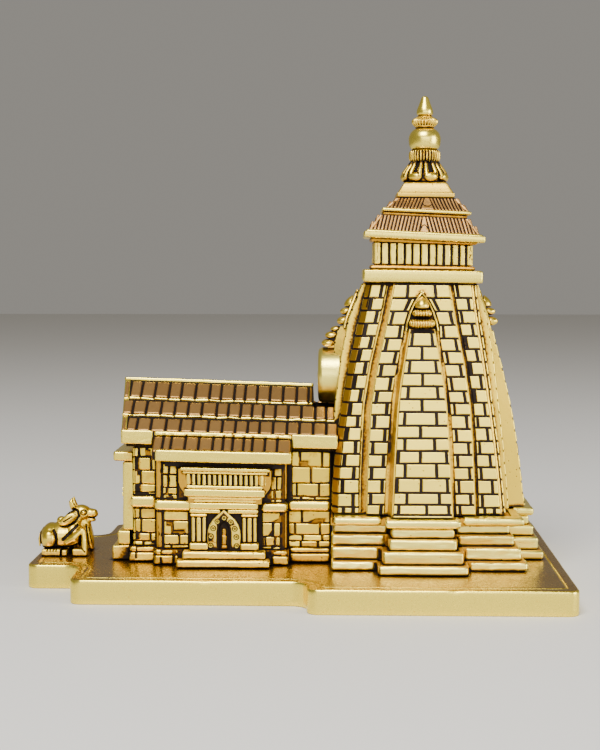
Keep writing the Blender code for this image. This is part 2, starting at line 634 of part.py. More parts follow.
def rib_reach(z, hall=False):
    """How far out a rib stands at a height, straight between its stations and beyond the last two."""
    k = min(next((i for i in range(len(RIB_Z) - 1) if z <= RIB_Z[i + 1]), len(RIB_Z) - 2), len(RIB_Z) - 2)
    t = (z - RIB_Z[k]) / (RIB_Z[k + 1] - RIB_Z[k])
    low, high = (RIB_REACH[i] + (RIB_HALL_OUT[i] if hall else 0.0) for i in (k, k + 1))
    return low + (high - low) * t


def tower_body():
    gap = FIT_HALF
    bm = bmesh.new()
    stations = [BODY_Z[0] + gap, *BODY_Z[1:-1], BODY_Z[-1] - gap]
    loft(bm, [body_ring(z) for z in stations])
    finish("tower_body", bm, WARM)

    for turn, tag in enumerate(("front", "end", "back", "hall")):
        heights = sorted(set(RIB_Z) | {z for z in BODY_Z if RIB_Z[0] < z < RIB_Z[-1]})
        if tag == "hall":
            heights = [z for z in heights if z > RIB_HALL_FROM]
            heights.insert(0, RIB_HALL_FROM)
        rows = []
        for z in heights:
            k = next(i for i in range(len(RIB_Z) - 1) if z <= RIB_Z[i + 1])
            t = (z - RIB_Z[k]) / (RIB_Z[k + 1] - RIB_Z[k])
            rows.append((z, RIB_HALF[k] + (RIB_HALF[k + 1] - RIB_HALF[k]) * t, rib_reach(z, tag == "hall")))
        rows[0] = (rows[0][0] + gap, *rows[0][1:])
        rows[-1] = (rows[-1][0] - gap, *rows[-1][1:])
        bm = bmesh.new()
        flare = RIB_FLARE / RIB_HALF[0]
        behind = [body_at(z, BODY_HALL_BAND_OUT) if tag == "hall" else 0.0 for z, _, _ in rows]
        loft(bm, [face_ring(z, half, reach, flare * half, out) for (z, half, reach), out in zip(rows, behind)])
        quarter_turn(bm, turn)
        finish("tower_rib_" + tag, bm, PALE)

        bm = bmesh.new()
        tiers = [(CROWN[0][0] + gap, *CROWN[0][1:]), *CROWN[1:]]
        tiers.append((BODY_Z[5], *[a + (b - a) * (BODY_Z[5] - CROWN[1][0]) / (CROWN[2][0] - CROWN[1][0])
                                   for a, b in zip(CROWN[1][1:], CROWN[2][1:])]))
        rings = []
        for z, half, reach in sorted(tiers):
            out = body_at(z, BODY_HALL_BAND_OUT) if tag == "hall" else 0.0
            rings.append(face_ring(z, half, reach + out, 0.0, out))
        loft(bm, rings)
        quarter_turn(bm, turn)
        finish("rib_crown_" + tag, bm, PALE)


def medallion():
    """Round drum that closes the hall ridge against the tower, with its own small crown."""
    bm = bmesh.new()
    segments = 36
    turn = [2 * math.pi * i / segments for i in range(segments)]
    radius = MEDALLION_RADIUS
    inner = body_at(MEDALLION_Z - radius, BODY_BAND) + RIB_FLARE
    profile = [(inner, radius), *[(MEDALLION_REACH - depth, radius - step) for depth, step in MEDALLION_ROWS]]
    loft(bm, [[(TOWER_X - x, r * math.cos(a), MEDALLION_Z + r * math.sin(a)) for a in turn] for x, r in profile])
    drum = finish("medallion", bm, PALE, 0.25, smooth=40)
    spare = solid(rib_space, MEDALLION_Z - 1.3 * MEDALLION_RADIUS, CROWN[-1][0])
    boolean(drum, [spare], "DIFFERENCE")

    bm = bmesh.new()
    rings = [[(TOWER_X - reach, half, z), (TOWER_X - reach, -half, z), (TOWER_X - HALL_CROWN_BACK, -half, z), (TOWER_X - HALL_CROWN_BACK, half, z)]
             for z, half, reach in HALL_CROWN]
    loft(bm, rings)
    crown = finish("hall_crown", bm, PALE)
    boolean(crown, [solid(rib_space, MEDALLION_Z - 1.3 * MEDALLION_RADIUS, CROWN[-1][0])], "DIFFERENCE")


def rib_space(bm, low, high):
    """The room that the body and the rib on the hall side take up, with their clearance."""
    rows = []
    for z in sorted({low, *[h for h in RIB_Z if low < h < high], RIB_Z[-1] + FIT, high}):
        rows.append((z, rib_reach(max(z, RIB_HALL_FROM), True) + FIT))
    loft(bm, [[(TOWER_X - reach, -30.0, z), (TOWER_X, -30.0, z), (TOWER_X, 30.0, z), (TOWER_X - reach, 30.0, z)]
              for z, reach in rows])


# Top of the tower
LEAN = ((115.0, 0.0), (116.0, 0.014), (120.5, 0.014), (122.5, 0.02), (130.4, 0.033), (131.8, 0.05), (146.0, 0.05),
        (148.0, 0.012), (153.0, 0.0), (200.0, 0.0))


def lean_roof(bm):
    """The roofs of the tower hang a little lower on the end away from the hall."""
    for v in bm.verts:
        for (z0, a), (z1, b) in zip(LEAN, LEAN[1:]):
            if z0 <= v.co.z < z1:
                v.co.z -= (a + (b - a) * (v.co.z - z0) / (z1 - z0)) * (v.co.x - TOWER_X)
                break
    bmesh.ops.triangulate(bm, faces=[f for f in bm.faces if len(f.verts) == 4])


def square(half, z, shift=0.0):
    return [(TOWER_X + shift - half, -half, z), (TOWER_X + shift + half, -half, z),
            (TOWER_X + shift + half, half, z), (TOWER_X + shift - half, half, z)]


def tower_top():
    gap = FIT_HALF
    low, high, half = CAP_SLAB
    edge = 0.8
    bm = bmesh.new()
    loft(bm, [square(half - edge, low + gap), square(half, low + gap + edge),
              square(half, high - gap - edge), square(half - edge, high - gap)])
    lean_roof(bm)
    finish("cap_slab", bm, PALE, 0.28)

    low, high, half = NECK_MOULD
    bm = bmesh.new()
    loft(bm, [square(half, low + gap), square(half, high - gap)])
    lean_roof(bm)
    finish("neck_mould", bm, WARM)

    low, high, half = LOGGIA
    pitch = 2 * half / (LOGGIA_BARS - 0.35)
    outline = []
    for turn in range(4):
        c, s = (1, 0, -1, 0)[turn], (0, 1, 0, -1)[turn]
        for k in range(LOGGIA_BARS):
            a = -half + pitch * k
            b = a + pitch * 0.65
            steps = [(a, -half), (b, -half), (b, -half + LOGGIA_BAR_DEPTH), (a + pitch, -half + LOGGIA_BAR_DEPTH)]
            if k == LOGGIA_BARS - 1:
                steps = steps[:1]
            outline += [(TOWER_X + x * c - y * s, x * s + y * c) for x, y in steps]
    bm = bmesh.new()
    prism(bm, outline, low + gap, high - gap)
    lean_roof(bm)
    finish("loggia", bm, PALE)

    bm = bmesh.new()
    low, eave, high, half, top = LOWER_ROOF
    (under, board, soffit), (_, neck_top, neck) = SOFFIT, ROOF_NECK
    loft(bm, [square(soffit, under + gap), square(soffit, board), square(half - 0.7, low + 0.1), square(half, low + 0.9),
              square(half - 0.5, eave - 0.4), square(half - 2.0, eave), square(top, high), square(neck, high + 0.1),
              square(neck, neck_top - gap)])
    lean_roof(bm)
    finish("lower_roof", bm, WARM)

    bm = bmesh.new()
    low, eave, high, half, top = UPPER_ROOF
    loft(bm, [square(half, low + gap, 1.0), square(half - 0.3, eave - 0.3, 1.0), square(half - 1.2, eave, 1.0),
              square(top, high - gap, FINIAL_SHIFT)])
    lean_roof(bm)
    finish("upper_roof", bm, WARM)

    bm = bmesh.new()
    low, edge, high, half, top = ROOF_CAP
    loft(bm, [square(half, low + gap, FINIAL_SHIFT), square(half, edge, FINIAL_SHIFT),
              square(top, high - gap, FINIAL_SHIFT)])
    lean_roof(bm)
    finish("roof_cap", bm, PALE, 0.28)


def finial():
    gap = FIT_HALF
    centre = (TOWER_X + FINIAL_SHIFT, 0.0)
    low, high, foot, neck = COLLAR
    bm = bmesh.new()
    turned(bm, ((low + gap, foot - 2.6), (low + 1.2, foot - 2.2), (high - 2.0, neck), (high - gap, neck - 0.3)),
           centre, 24)
    collar = finish("lotus_collar", bm, PALE, 0.3)
    loops = []
    for k in range(COLLAR_LOOPS):
        angle = 2 * math.pi * (k + 0.5) / COLLAR_LOOPS
        bm = bmesh.new()
        bmesh.ops.create_icosphere(bm, subdivisions=2, radius=1.0)
        slope = math.atan2(foot - neck, high - low)
        for v in bm.verts:
            p = Matrix.Rotation(-slope, 3, "Y") @ Vector((v.co.x * 1.3, v.co.y * 2.3, v.co.z * 3.6))
            p += Vector((foot - 2.9, 0.0, (low + high) / 2))
            p.rotate(Matrix.Rotation(angle, 3, "Z"))
            v.co = p + Vector((*centre, 0.0))
        loops.append(finish("helper", bm, PALE))
    boolean(collar, loops, "UNION")

    low, high, radius = FINIAL_RING_LOW
    bm = bmesh.new()
    turned(bm, ((low + gap, radius - 1.6), (low + 1.2, radius - 0.4), (low + 2.0, radius), (high - 1.2, radius),
                (high - 0.4, radius - 0.6), (high - gap, radius - 1.6)), centre)
    finish("finial_ring_low", bm, PALE, 0.3, smooth=35)

    low, high, radius = FINIAL_BALL
    bm = bmesh.new()
    mid = (low + high) / 2
    rise = (high - low) / 2 - gap
    rows = [math.radians(a) for a in range(-60, 61, 15)]
    top = math.sin(rows[-1])
    turned(bm, [(mid + rise * math.sin(a) / top, radius * math.cos(a)) for a in rows], centre)
    finish("finial_ball", bm, PALE, 0.25, smooth=60)

    low, high, radius = FINIAL_RING_HIGH
    bm = bmesh.new()
    turned(bm, ((low + gap, radius - 1.4), (low + 1.4, radius - 0.2), (low + 2.0, radius), (high - 1.6, radius - 0.2),
                (high - 0.6, radius - 1.2), (high - gap, radius - 2.2)), centre)
    finish("finial_ring_high", bm, PALE, 0.3, smooth=35)

    low, high, radius, tip = FINIAL_TIP
    bm = bmesh.new()
    turned(bm, ((low + gap, radius - 0.6), (low + 0.8, radius), (low + 2.0, radius - 0.1), (high - 0.7, tip + 0.1),
                (high, tip - 0.6)), centre)
    finish("finial_tip", bm, PALE, 0.25, smooth=40)


# Bull
def ball(centre, radii, tilt=0.0):
    """An ellipsoid of the bull, from its centre in the bull's own frame."""
    bm = bmesh.new()
    bmesh.ops.create_uvsphere(bm, u_segments=14, v_segments=9, radius=1.0)
    for v in bm.verts:
        p = Vector((v.co.x * radii[0], v.co.y * radii[1], v.co.z * radii[2]))
        p.rotate(Matrix.Rotation(math.radians(tilt), 3, "Y"))
        v.co = (p + Vector(centre)) * BULL_UNIT + BULL
    return finish("helper", bm, PALE)


def bull():
    """Resting bull: barrel, rump, chest, neck, head, horns, ears and folded legs in one casting."""
    bodies = [
        ball((-5.4, 0.0, 5.6), (5.3, 7.4, 5.9)),
        ball((5.0, 0.0, 7.0), (4.8, 6.0, 7.6)),
        ball((5.4, 0.0, 12.6), (3.8, 3.9, 4.6), 25),
        ball((5.0, 0.0, 16.0), (3.8, 3.0, 3.1)),
        ball((9.4, 0.0, 14.8), (3.0, 2.1, 2.1), 12),
    ]
    for sign in (-1, 1):
        bodies += [
            ball((-7.0, 4.6 * sign, 5.6), (3.9, 3.2, 4.6)),
            ball((-4.4, 6.6 * sign, 1.5), (4.9, 1.9, 1.7)),
            ball((6.2, 5.0 * sign, 5.6), (2.0, 2.2, 5.2), -16),
            ball((6.0, 6.4 * sign, 1.6), (3.9, 2.0, 1.8)),
            ball((2.4, 1.7 * sign, 18.9), (1.1, 1.0, 2.6), -8),
            ball((0.8, 4.0 * sign, 13.6), (3.9, 1.0, 1.7), -34),
        ]
    body = ball((-0.5, 0.0, 6.6), (8.6, 6.8, 6.2))
    body.name = "bull"
    boolean(body, bodies, "UNION")
    reach = BULL_LENGTH
    floor = solid(box, (BULL.x - reach, BULL.x + reach), (BULL.y - reach, BULL.y + reach), (-PLATE_THICK, BULL.z + FIT))
    boolean(body, [floor], "DIFFERENCE")
    body.data.shade_smooth()
    body.data.set_sharp_from_angle(angle=math.radians(50))


def main():
    for obj in list(bpy.data.objects):
        bpy.data.objects.remove(obj, do_unlink=True)
    base_plate()
    hall()
    for tag, sign in (("front", -1), ("back", 1)):
        niche(tag, sign)
        porch_roof(tag, sign)
    hall_front()
    hall_roof()
    tower_plinth()
    tower_body()
    medallion()
    tower_top()
    finial()
    bull()


main()
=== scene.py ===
"""Cast brass table model of a hill temple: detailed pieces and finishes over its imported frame."""
import logging
import math
from dataclasses import dataclass, field, replace
from enum import Enum
from typing import Callable, Iterable, Sequence

import bmesh
import bpy
import numpy as np
from mathutils import Matrix, Vector


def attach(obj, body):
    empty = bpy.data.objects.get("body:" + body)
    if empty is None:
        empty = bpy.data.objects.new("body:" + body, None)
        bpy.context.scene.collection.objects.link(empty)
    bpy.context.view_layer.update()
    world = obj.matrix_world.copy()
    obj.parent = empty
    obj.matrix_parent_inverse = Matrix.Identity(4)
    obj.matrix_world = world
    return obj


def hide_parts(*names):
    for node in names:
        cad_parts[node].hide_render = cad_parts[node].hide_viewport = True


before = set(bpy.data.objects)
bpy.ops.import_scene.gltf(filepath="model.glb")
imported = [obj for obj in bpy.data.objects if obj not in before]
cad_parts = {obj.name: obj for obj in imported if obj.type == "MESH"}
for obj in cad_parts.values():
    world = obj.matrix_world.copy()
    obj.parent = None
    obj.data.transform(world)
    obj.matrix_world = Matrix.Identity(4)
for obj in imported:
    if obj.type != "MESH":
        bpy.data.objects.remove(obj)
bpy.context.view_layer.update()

LOG = logging.getLogger("temple")
MM = 0.001
PLATE_TOP = 9.2
TOWER_X = 47.8
HALL_ENDS = (-62.2, 13.5)
HALL_FALL = 0.036
QUARTERS = ((1, 0), (0, 1), (-1, 0), (0, -1))
Point = tuple[float, float, float]
Colour = tuple[float, float, float]
Pair = tuple[float, float]
Row = tuple[float, ...]


def even(parts: int) -> Row:
    """The lines that part a block's face evenly."""
    return tuple(k / parts for k in range(1 - parts, parts))


def wheel(count: int) -> list[float]:
    """Angles evenly round a circle."""
    return [2 * math.pi * i / count for i in range(count)]


def in_scene(name: str, data: bpy.types.ID | None) -> bpy.types.Object:
    """A new object in the scene."""
    made = bpy.data.objects.new(name, data)
    bpy.context.scene.collection.objects.link(made)
    return made


def evaluated(holder: bpy.types.Object) -> bpy.types.Mesh:
    """What an object's modifiers make of its mesh."""
    graph = bpy.context.evaluated_depsgraph_get()
    return bpy.data.meshes.new_from_object(holder.evaluated_get(graph), preserve_all_data_layers=True,
        depsgraph=graph)


def operator(operation: str, swapped: bool = False) -> Callable[["Wire", object], "Wire"]:
    """A Python operator of Wire that adds the node for it."""
    def run(self: "Wire", other: object) -> "Wire":
        """Adds the node."""
        return self._sum(operation, other, self) if swapped else self._sum(operation, self, other)
    return run


class Wire:
    """A node's output that takes part in sums written as Python expressions."""

    __add__, __radd__ = operator("ADD"), operator("ADD", True)
    __sub__, __rsub__ = operator("SUBTRACT"), operator("SUBTRACT", True)
    __mul__, __rmul__ = operator("MULTIPLY"), operator("MULTIPLY", True)
    __truediv__, __rtruediv__ = operator("DIVIDE"), operator("DIVIDE", True)

    def __init__(self, tree: "NodeTree", socket: bpy.types.NodeSocket) -> None:
        """Wraps one output socket of a tree."""
        self.tree, self.socket = tree, socket

    def _sum(self, operation: str, first: object, second: object) -> "Wire":
        """Adds the Math or Vector Math node for one operation."""
        wide = any(isinstance(v, (tuple, Vector))
                   or (isinstance(v, Wire) and v.socket.type in ("VECTOR", "RGBA")) for v in (first, second))
        kind = "ShaderNodeVectorMath" if wide else "ShaderNodeMath"
        return self.tree.wire(kind, {"operation": operation}, {0: first, 1: second})

    def clamp(self) -> "Wire":
        """Keeps a value between 0 and 1."""
        return self.tree.wire("ShaderNodeMath", {"operation": "ADD", "use_clamp": True}, {0: self, 1: 0.0})

    def step(self, low: float, high: float) -> "Wire":
        """Rises smoothly from 0 at low to 1 at high."""
        return self.tree.wire("ShaderNodeMapRange", {"interpolation_type": "SMOOTHSTEP"},
                              {"Value": self, "From Min": low, "From Max": high})

    def parts(self) -> list["Wire"]:
        """The x, y and z of a vector."""
        split = self.tree.node("ShaderNodeSeparateXYZ", {}, {0: self})
        return [Wire(self.tree, out) for out in split.outputs]

    def length(self) -> "Wire":
        """The length of a vector."""
        return self.tree.wire("ShaderNodeVectorMath", {"operation": "LENGTH"}, {0: self}, "Value")


class NodeTree:
    """Makes the nodes of one shader or geometry tree and links them."""

    def __init__(self, tree: bpy.types.NodeTree) -> None:
        """Wraps a tree that is still empty."""
        self.tree = tree

    @staticmethod
    def _find(sockets: Sequence[bpy.types.NodeSocket], key: int | str) -> bpy.types.NodeSocket:
        """The socket with that place or, among those in use, that name."""
        return sockets[key] if isinstance(key, int) else next(s for s in sockets if s.name == key
            and s.enabled)

    def node(self, kind: str, settings: dict[str, object] | None = None,
             values: dict[int | str, object] | None = None) -> bpy.types.Node:
        """Adds a node.

        Args:
            kind: the node's type.
            settings: its properties, set first; "stops" are a ramp's (place, colour) pairs.
            values: what goes to its sockets, by place or name: a Wire, or a plain value.

        Returns:
            The node.
        """
        made = self.tree.nodes.new(kind)
        for name, value in (settings or {}).items():
            if name == "stops":
                ramp = made.color_ramp.elements
                while len(ramp) < len(value):
                    ramp.new(0.5)
                for element, (place, colour) in zip(ramp, value):
                    element.position, element.color = place, (*colour, 1.0)
            else:
                setattr(made, name, value)
        for key, value in (values or {}).items():
            socket = self._find(made.inputs, key)
            if isinstance(value, Wire):
                self.tree.links.new(value.socket, socket)
            elif socket.type in ("VECTOR", "ROTATION") and isinstance(value, (int, float)):
                socket.default_value = (value,) * 3
            elif socket.type == "RGBA" and len(value) == 3:
                socket.default_value = (*value, 1.0)
            else:
                socket.default_value = value
        return made

    def wire(self, kind: str, settings: dict[str, object] | None = None,
             values: dict[int | str, object] | None = None, output: str | None = None) -> Wire:
        """Adds a node and returns one of its outputs, by name or else the first in use."""
        made = self.node(kind, settings, values)
        return Wire(self, next(s for s in made.outputs if s.enabled and (output is None or s.name == output)))


class GeometryTree(NodeTree):
    """A Geometry Nodes tree with named inputs, run on a mesh and turned into a plain one."""

    def __init__(self, name: str, inputs: dict[str, str]) -> None:
        """Makes the tree.

        Args:
            name: what the tree does.
            inputs: each input's name and socket type.
        """
        super().__init__(bpy.data.node_groups.new(name, "GeometryNodeTree"))
        face = self.tree.interface
        face.new_socket("Geometry", in_out="INPUT", socket_type="NodeSocketGeometry")
        self.sockets = {label: face.new_socket(label, in_out="INPUT", socket_type="NodeSocket" + kind)
                        for label, kind in {**inputs, "Finish": "Material"}.items()}
        face.new_socket("Geometry", in_out="OUTPUT", socket_type="NodeSocketGeometry")
        self.entry = self.node("NodeGroupInput")

    def given(self, label: str) -> Wire:
        """One of the tree's named inputs."""
        return Wire(self, self.entry.outputs[label])

    def attribute(self, name: str, kind: str = "FLOAT_VECTOR") -> Wire:
        """Reads a named attribute."""
        return self.wire("GeometryNodeInputNamedAttribute", {"data_type": kind}, {"Name": name}, "Attribute")

    def store(self, geometry: Wire, name: str, value: Wire, kind: str = "FLOAT_VECTOR") -> Wire:
        """Stores a value for each point under a name."""
        return self.wire("GeometryNodeStoreNamedAttribute", {"data_type": kind, "domain": "POINT"},
                         {"Geometry": geometry, "Name": name, "Value": value})

    def close(self, geometry: Wire) -> None:
        """Ends the tree in Realize Instances and Set Material."""
        real = self.wire("GeometryNodeRealizeInstances", {}, {"Geometry": geometry})
        dressed = self.wire("GeometryNodeSetMaterial", {},
                            {"Geometry": real, "Material": self.given("Finish")})
        self.node("NodeGroupOutput", {}, {"Geometry": dressed})

    def run(self, source: bpy.types.Mesh, values: dict[str, object]) -> bpy.types.Mesh:
        """Runs the tree.

        Args:
            source: the mesh that it starts from.
            values: the named inputs.

        Returns:
            The mesh that comes out, with no modifier left.
        """
        holder = in_scene("holder", source)
        modifier = holder.modifiers.new("Nodes", "NODES")
        modifier.node_group = self.tree
        for label, value in values.items():
            modifier[self.sockets[label].identifier] = value
        mesh = evaluated(holder)
        bpy.data.objects.remove(holder)
        return mesh


@dataclass
class Shape:
    """A closed mesh in millimetres: its points, faces and a tone for each point."""

    points: np.ndarray
    faces: list[tuple[int, ...]]
    tone: np.ndarray | None = None

    def __post_init__(self) -> None:
        """Fills in an even tone."""
        self.points = np.asarray(self.points, float).reshape(-1, 3)
        if self.tone is None:
            self.tone = np.zeros(len(self.points))

    @classmethod
    def read(cls, mesh: bpy.types.Mesh, scale: float = 1.0) -> "Shape":
        """Reads a mesh, with the tone that its blocks were given."""
        points = np.zeros(len(mesh.vertices) * 3)
        mesh.vertices.foreach_get("co", points)
        corners = np.zeros(len(mesh.loops), int)
        mesh.loops.foreach_get("vertex_index", corners)
        faces, corners = [], corners.tolist()
        for polygon in mesh.polygons:
            faces.append(tuple(corners[polygon.loop_start:polygon.loop_start + polygon.loop_total]))
        tone = None
        if "jitter" in mesh.attributes:
            jitter = np.zeros(len(mesh.vertices) * 3)
            mesh.attributes["jitter"].data.foreach_get("vector", jitter)
            tone = jitter[::3]
        return cls(points.reshape(-1, 3) * scale, faces, tone)

    def mesh(self, name: str, scale: float = 1.0) -> bpy.types.Mesh:
        """The shape as a mesh."""
        made = bpy.data.meshes.new(name)
        made.from_pydata((self.points * scale).tolist(), [], self.faces)
        return made

    def __add__(self, other: "Shape") -> "Shape":
        """Both shapes in one."""
        shift = len(self.points)
        return Shape(np.vstack([self.points, other.points]),
                     self.faces + [tuple(i + shift for i in face) for face in other.faces],
                     np.concatenate([self.tone, other.tone]))

    def mapped(self, change: Callable[[np.ndarray], np.ndarray]) -> "Shape":
        """The shape with its points moved by a rule."""
        return Shape(change(self.points.copy()), self.faces, self.tone)

    def mirrored(self) -> "Shape":
        """The shape's mirror image behind, with its faces still outwards."""
        return Shape(self.points * (1, -1, 1), [tuple(reversed(face)) for face in self.faces], self.tone)

    def both(self) -> "Shape":
        """The shape with its mirror image behind."""
        return self + self.mirrored()

    def turned(self, quarters: int, centre: float) -> "Shape":
        """The shape turned by quarters round an upright line through the centre."""
        c, s = QUARTERS[quarters % 4]
        x, y, z = (self.points - (centre, 0, 0)).T
        return Shape(np.stack([x * c - y * s + centre, x * s + y * c, z], axis=1), self.faces, self.tone)

    def outwards(self) -> "Shape":
        """Turns a closed shape's faces outwards."""
        volume = 0.0
        for face in self.faces:
            a = self.points[face[0]]
            for i, j in zip(face[1:], face[2:]):
                volume += float(np.dot(a, np.cross(self.points[i], self.points[j])))
        return self if volume > 0 else Shape(self.points, [tuple(reversed(face)) for face in self.faces],
            self.tone)

    def dense(self, step: float, axes: str = "xyz") -> "Shape":
        """Cuts the shape along an even grid, so that wear and patina have points to sit on."""
        bm = bmesh.new()
        verts = [bm.verts.new(p) for p in self.points]
        for face in self.faces:
            bm.faces.new([verts[i] for i in face])
        for axis in axes:
            k = "xyz".index(axis)
            low, high = self.points[:, k].min(), self.points[:, k].max()
            count = int((high - low) / step)
            normal = Vector([float(i == k) for i in range(3)])
            for i in range(1, count):
                place = normal * float(low + (high - low) * i / count)
                bmesh.ops.bisect_plane(bm, geom=bm.verts[:] + bm.edges[:] + bm.faces[:], dist=1e-5,
                                       plane_co=place, plane_no=normal)
        mesh = bpy.data.meshes.new("dense")
        bm.to_mesh(mesh)
        bm.free()
        shape = Shape.read(mesh)
        bpy.data.meshes.remove(mesh)
        return shape


def total(shapes: Iterable[Shape]) -> Shape:
    """Several shapes in one."""
    shapes = list(shapes)
    result = shapes[0]
    for shape in shapes[1:]:
        result = result + shape
    return result


def loft(rings: Sequence[Sequence[Point]]) -> Shape:
    """A closed solid over rings of equal length."""
    count = len(rings[0])
    faces: list[tuple[int, ...]] = [tuple(range(count)),
        tuple(range((len(rings) - 1) * count, len(rings) * count))]
    faces[0] = tuple(reversed(faces[0]))
    for low in range(0, (len(rings) - 1) * count, count):
        faces += [(low + i, low + (i + 1) % count, low + count + (i + 1) % count, low + count + i)
                  for i in range(count)]
    return Shape([p for ring in rings for p in ring], faces).outwards()


def box(x: Pair, y: Pair, z: Pair) -> Shape:
    """A plain block between three pairs of limits."""
    return loft([[(x[0], y[0], h), (x[1], y[0], h), (x[1], y[1], h), (x[0], y[1], h)] for h in z])


def turning(profile: Sequence[Pair], centre: Pair, segments: int = 64,
            flutes: int = 0, depth: float = 0.0, band: Pair = (0.0, 0.0)) -> Shape:
    """A turned solid.

    Args:
        profile: (height, radius) pairs.
        centre: its axis in plan.
        segments: points round it.
        flutes: number of flutes cut in the band.
        depth: their depth.
        band: lowest and highest point that is fluted.

    Returns:
        The closed solid.
    """
    rings = []
    for z, r in profile:
        ring = []
        for a in wheel(segments):
            cut = depth * (0.5 - 0.5 * math.cos(a * flutes)) if band[0] <= z <= band[1] else 0.0
            ring.append((centre[0] + (r - cut) * math.cos(a), centre[1] + (r - cut) * math.sin(a), z))
        rings.append(ring)
    return loft(rings)


def smooth_line(points: Sequence[Pair], count: int) -> list[Pair]:
    """A smooth line with that many points through a few given ones."""
    given = np.array([points[0], *points, points[-1]], float)
    result = []
    for i in range(count):
        t = (len(points) - 1) * i / (count - 1)
        k = min(int(t), len(points) - 2)
        t -= k
        p0, p1, p2, p3 = given[k:k + 4]
        result.append(tuple(0.5 * (2 * p1 + (p2 - p0) * t + (2 * p0 - 5 * p1 + 4 * p2 - p3) * t ** 2
                                   + (3 * p1 - p0 - 3 * p2 + p3) * t ** 3)))
    return result


@dataclass(frozen=True)
class Cell:
    """The place of one cast block: its face's corners from the lower left, anticlockwise, and its depth."""

    corners: tuple[Point, Point, Point, Point]
    depth: float


@dataclass(frozen=True)
class Lay:
    """How blocks are cast, in millimetres: rounding, joint between them, and unevenness."""

    rounds: int = 2
    middles: Row = (0.0,)
    edge: float = 0.38
    joint: float = 0.55
    bed: float | None = None
    stagger: float = 0.12
    tilt: float = 0.12
    wobble: float = 0.16
    grain: float = 0.5
    seed: int = 1


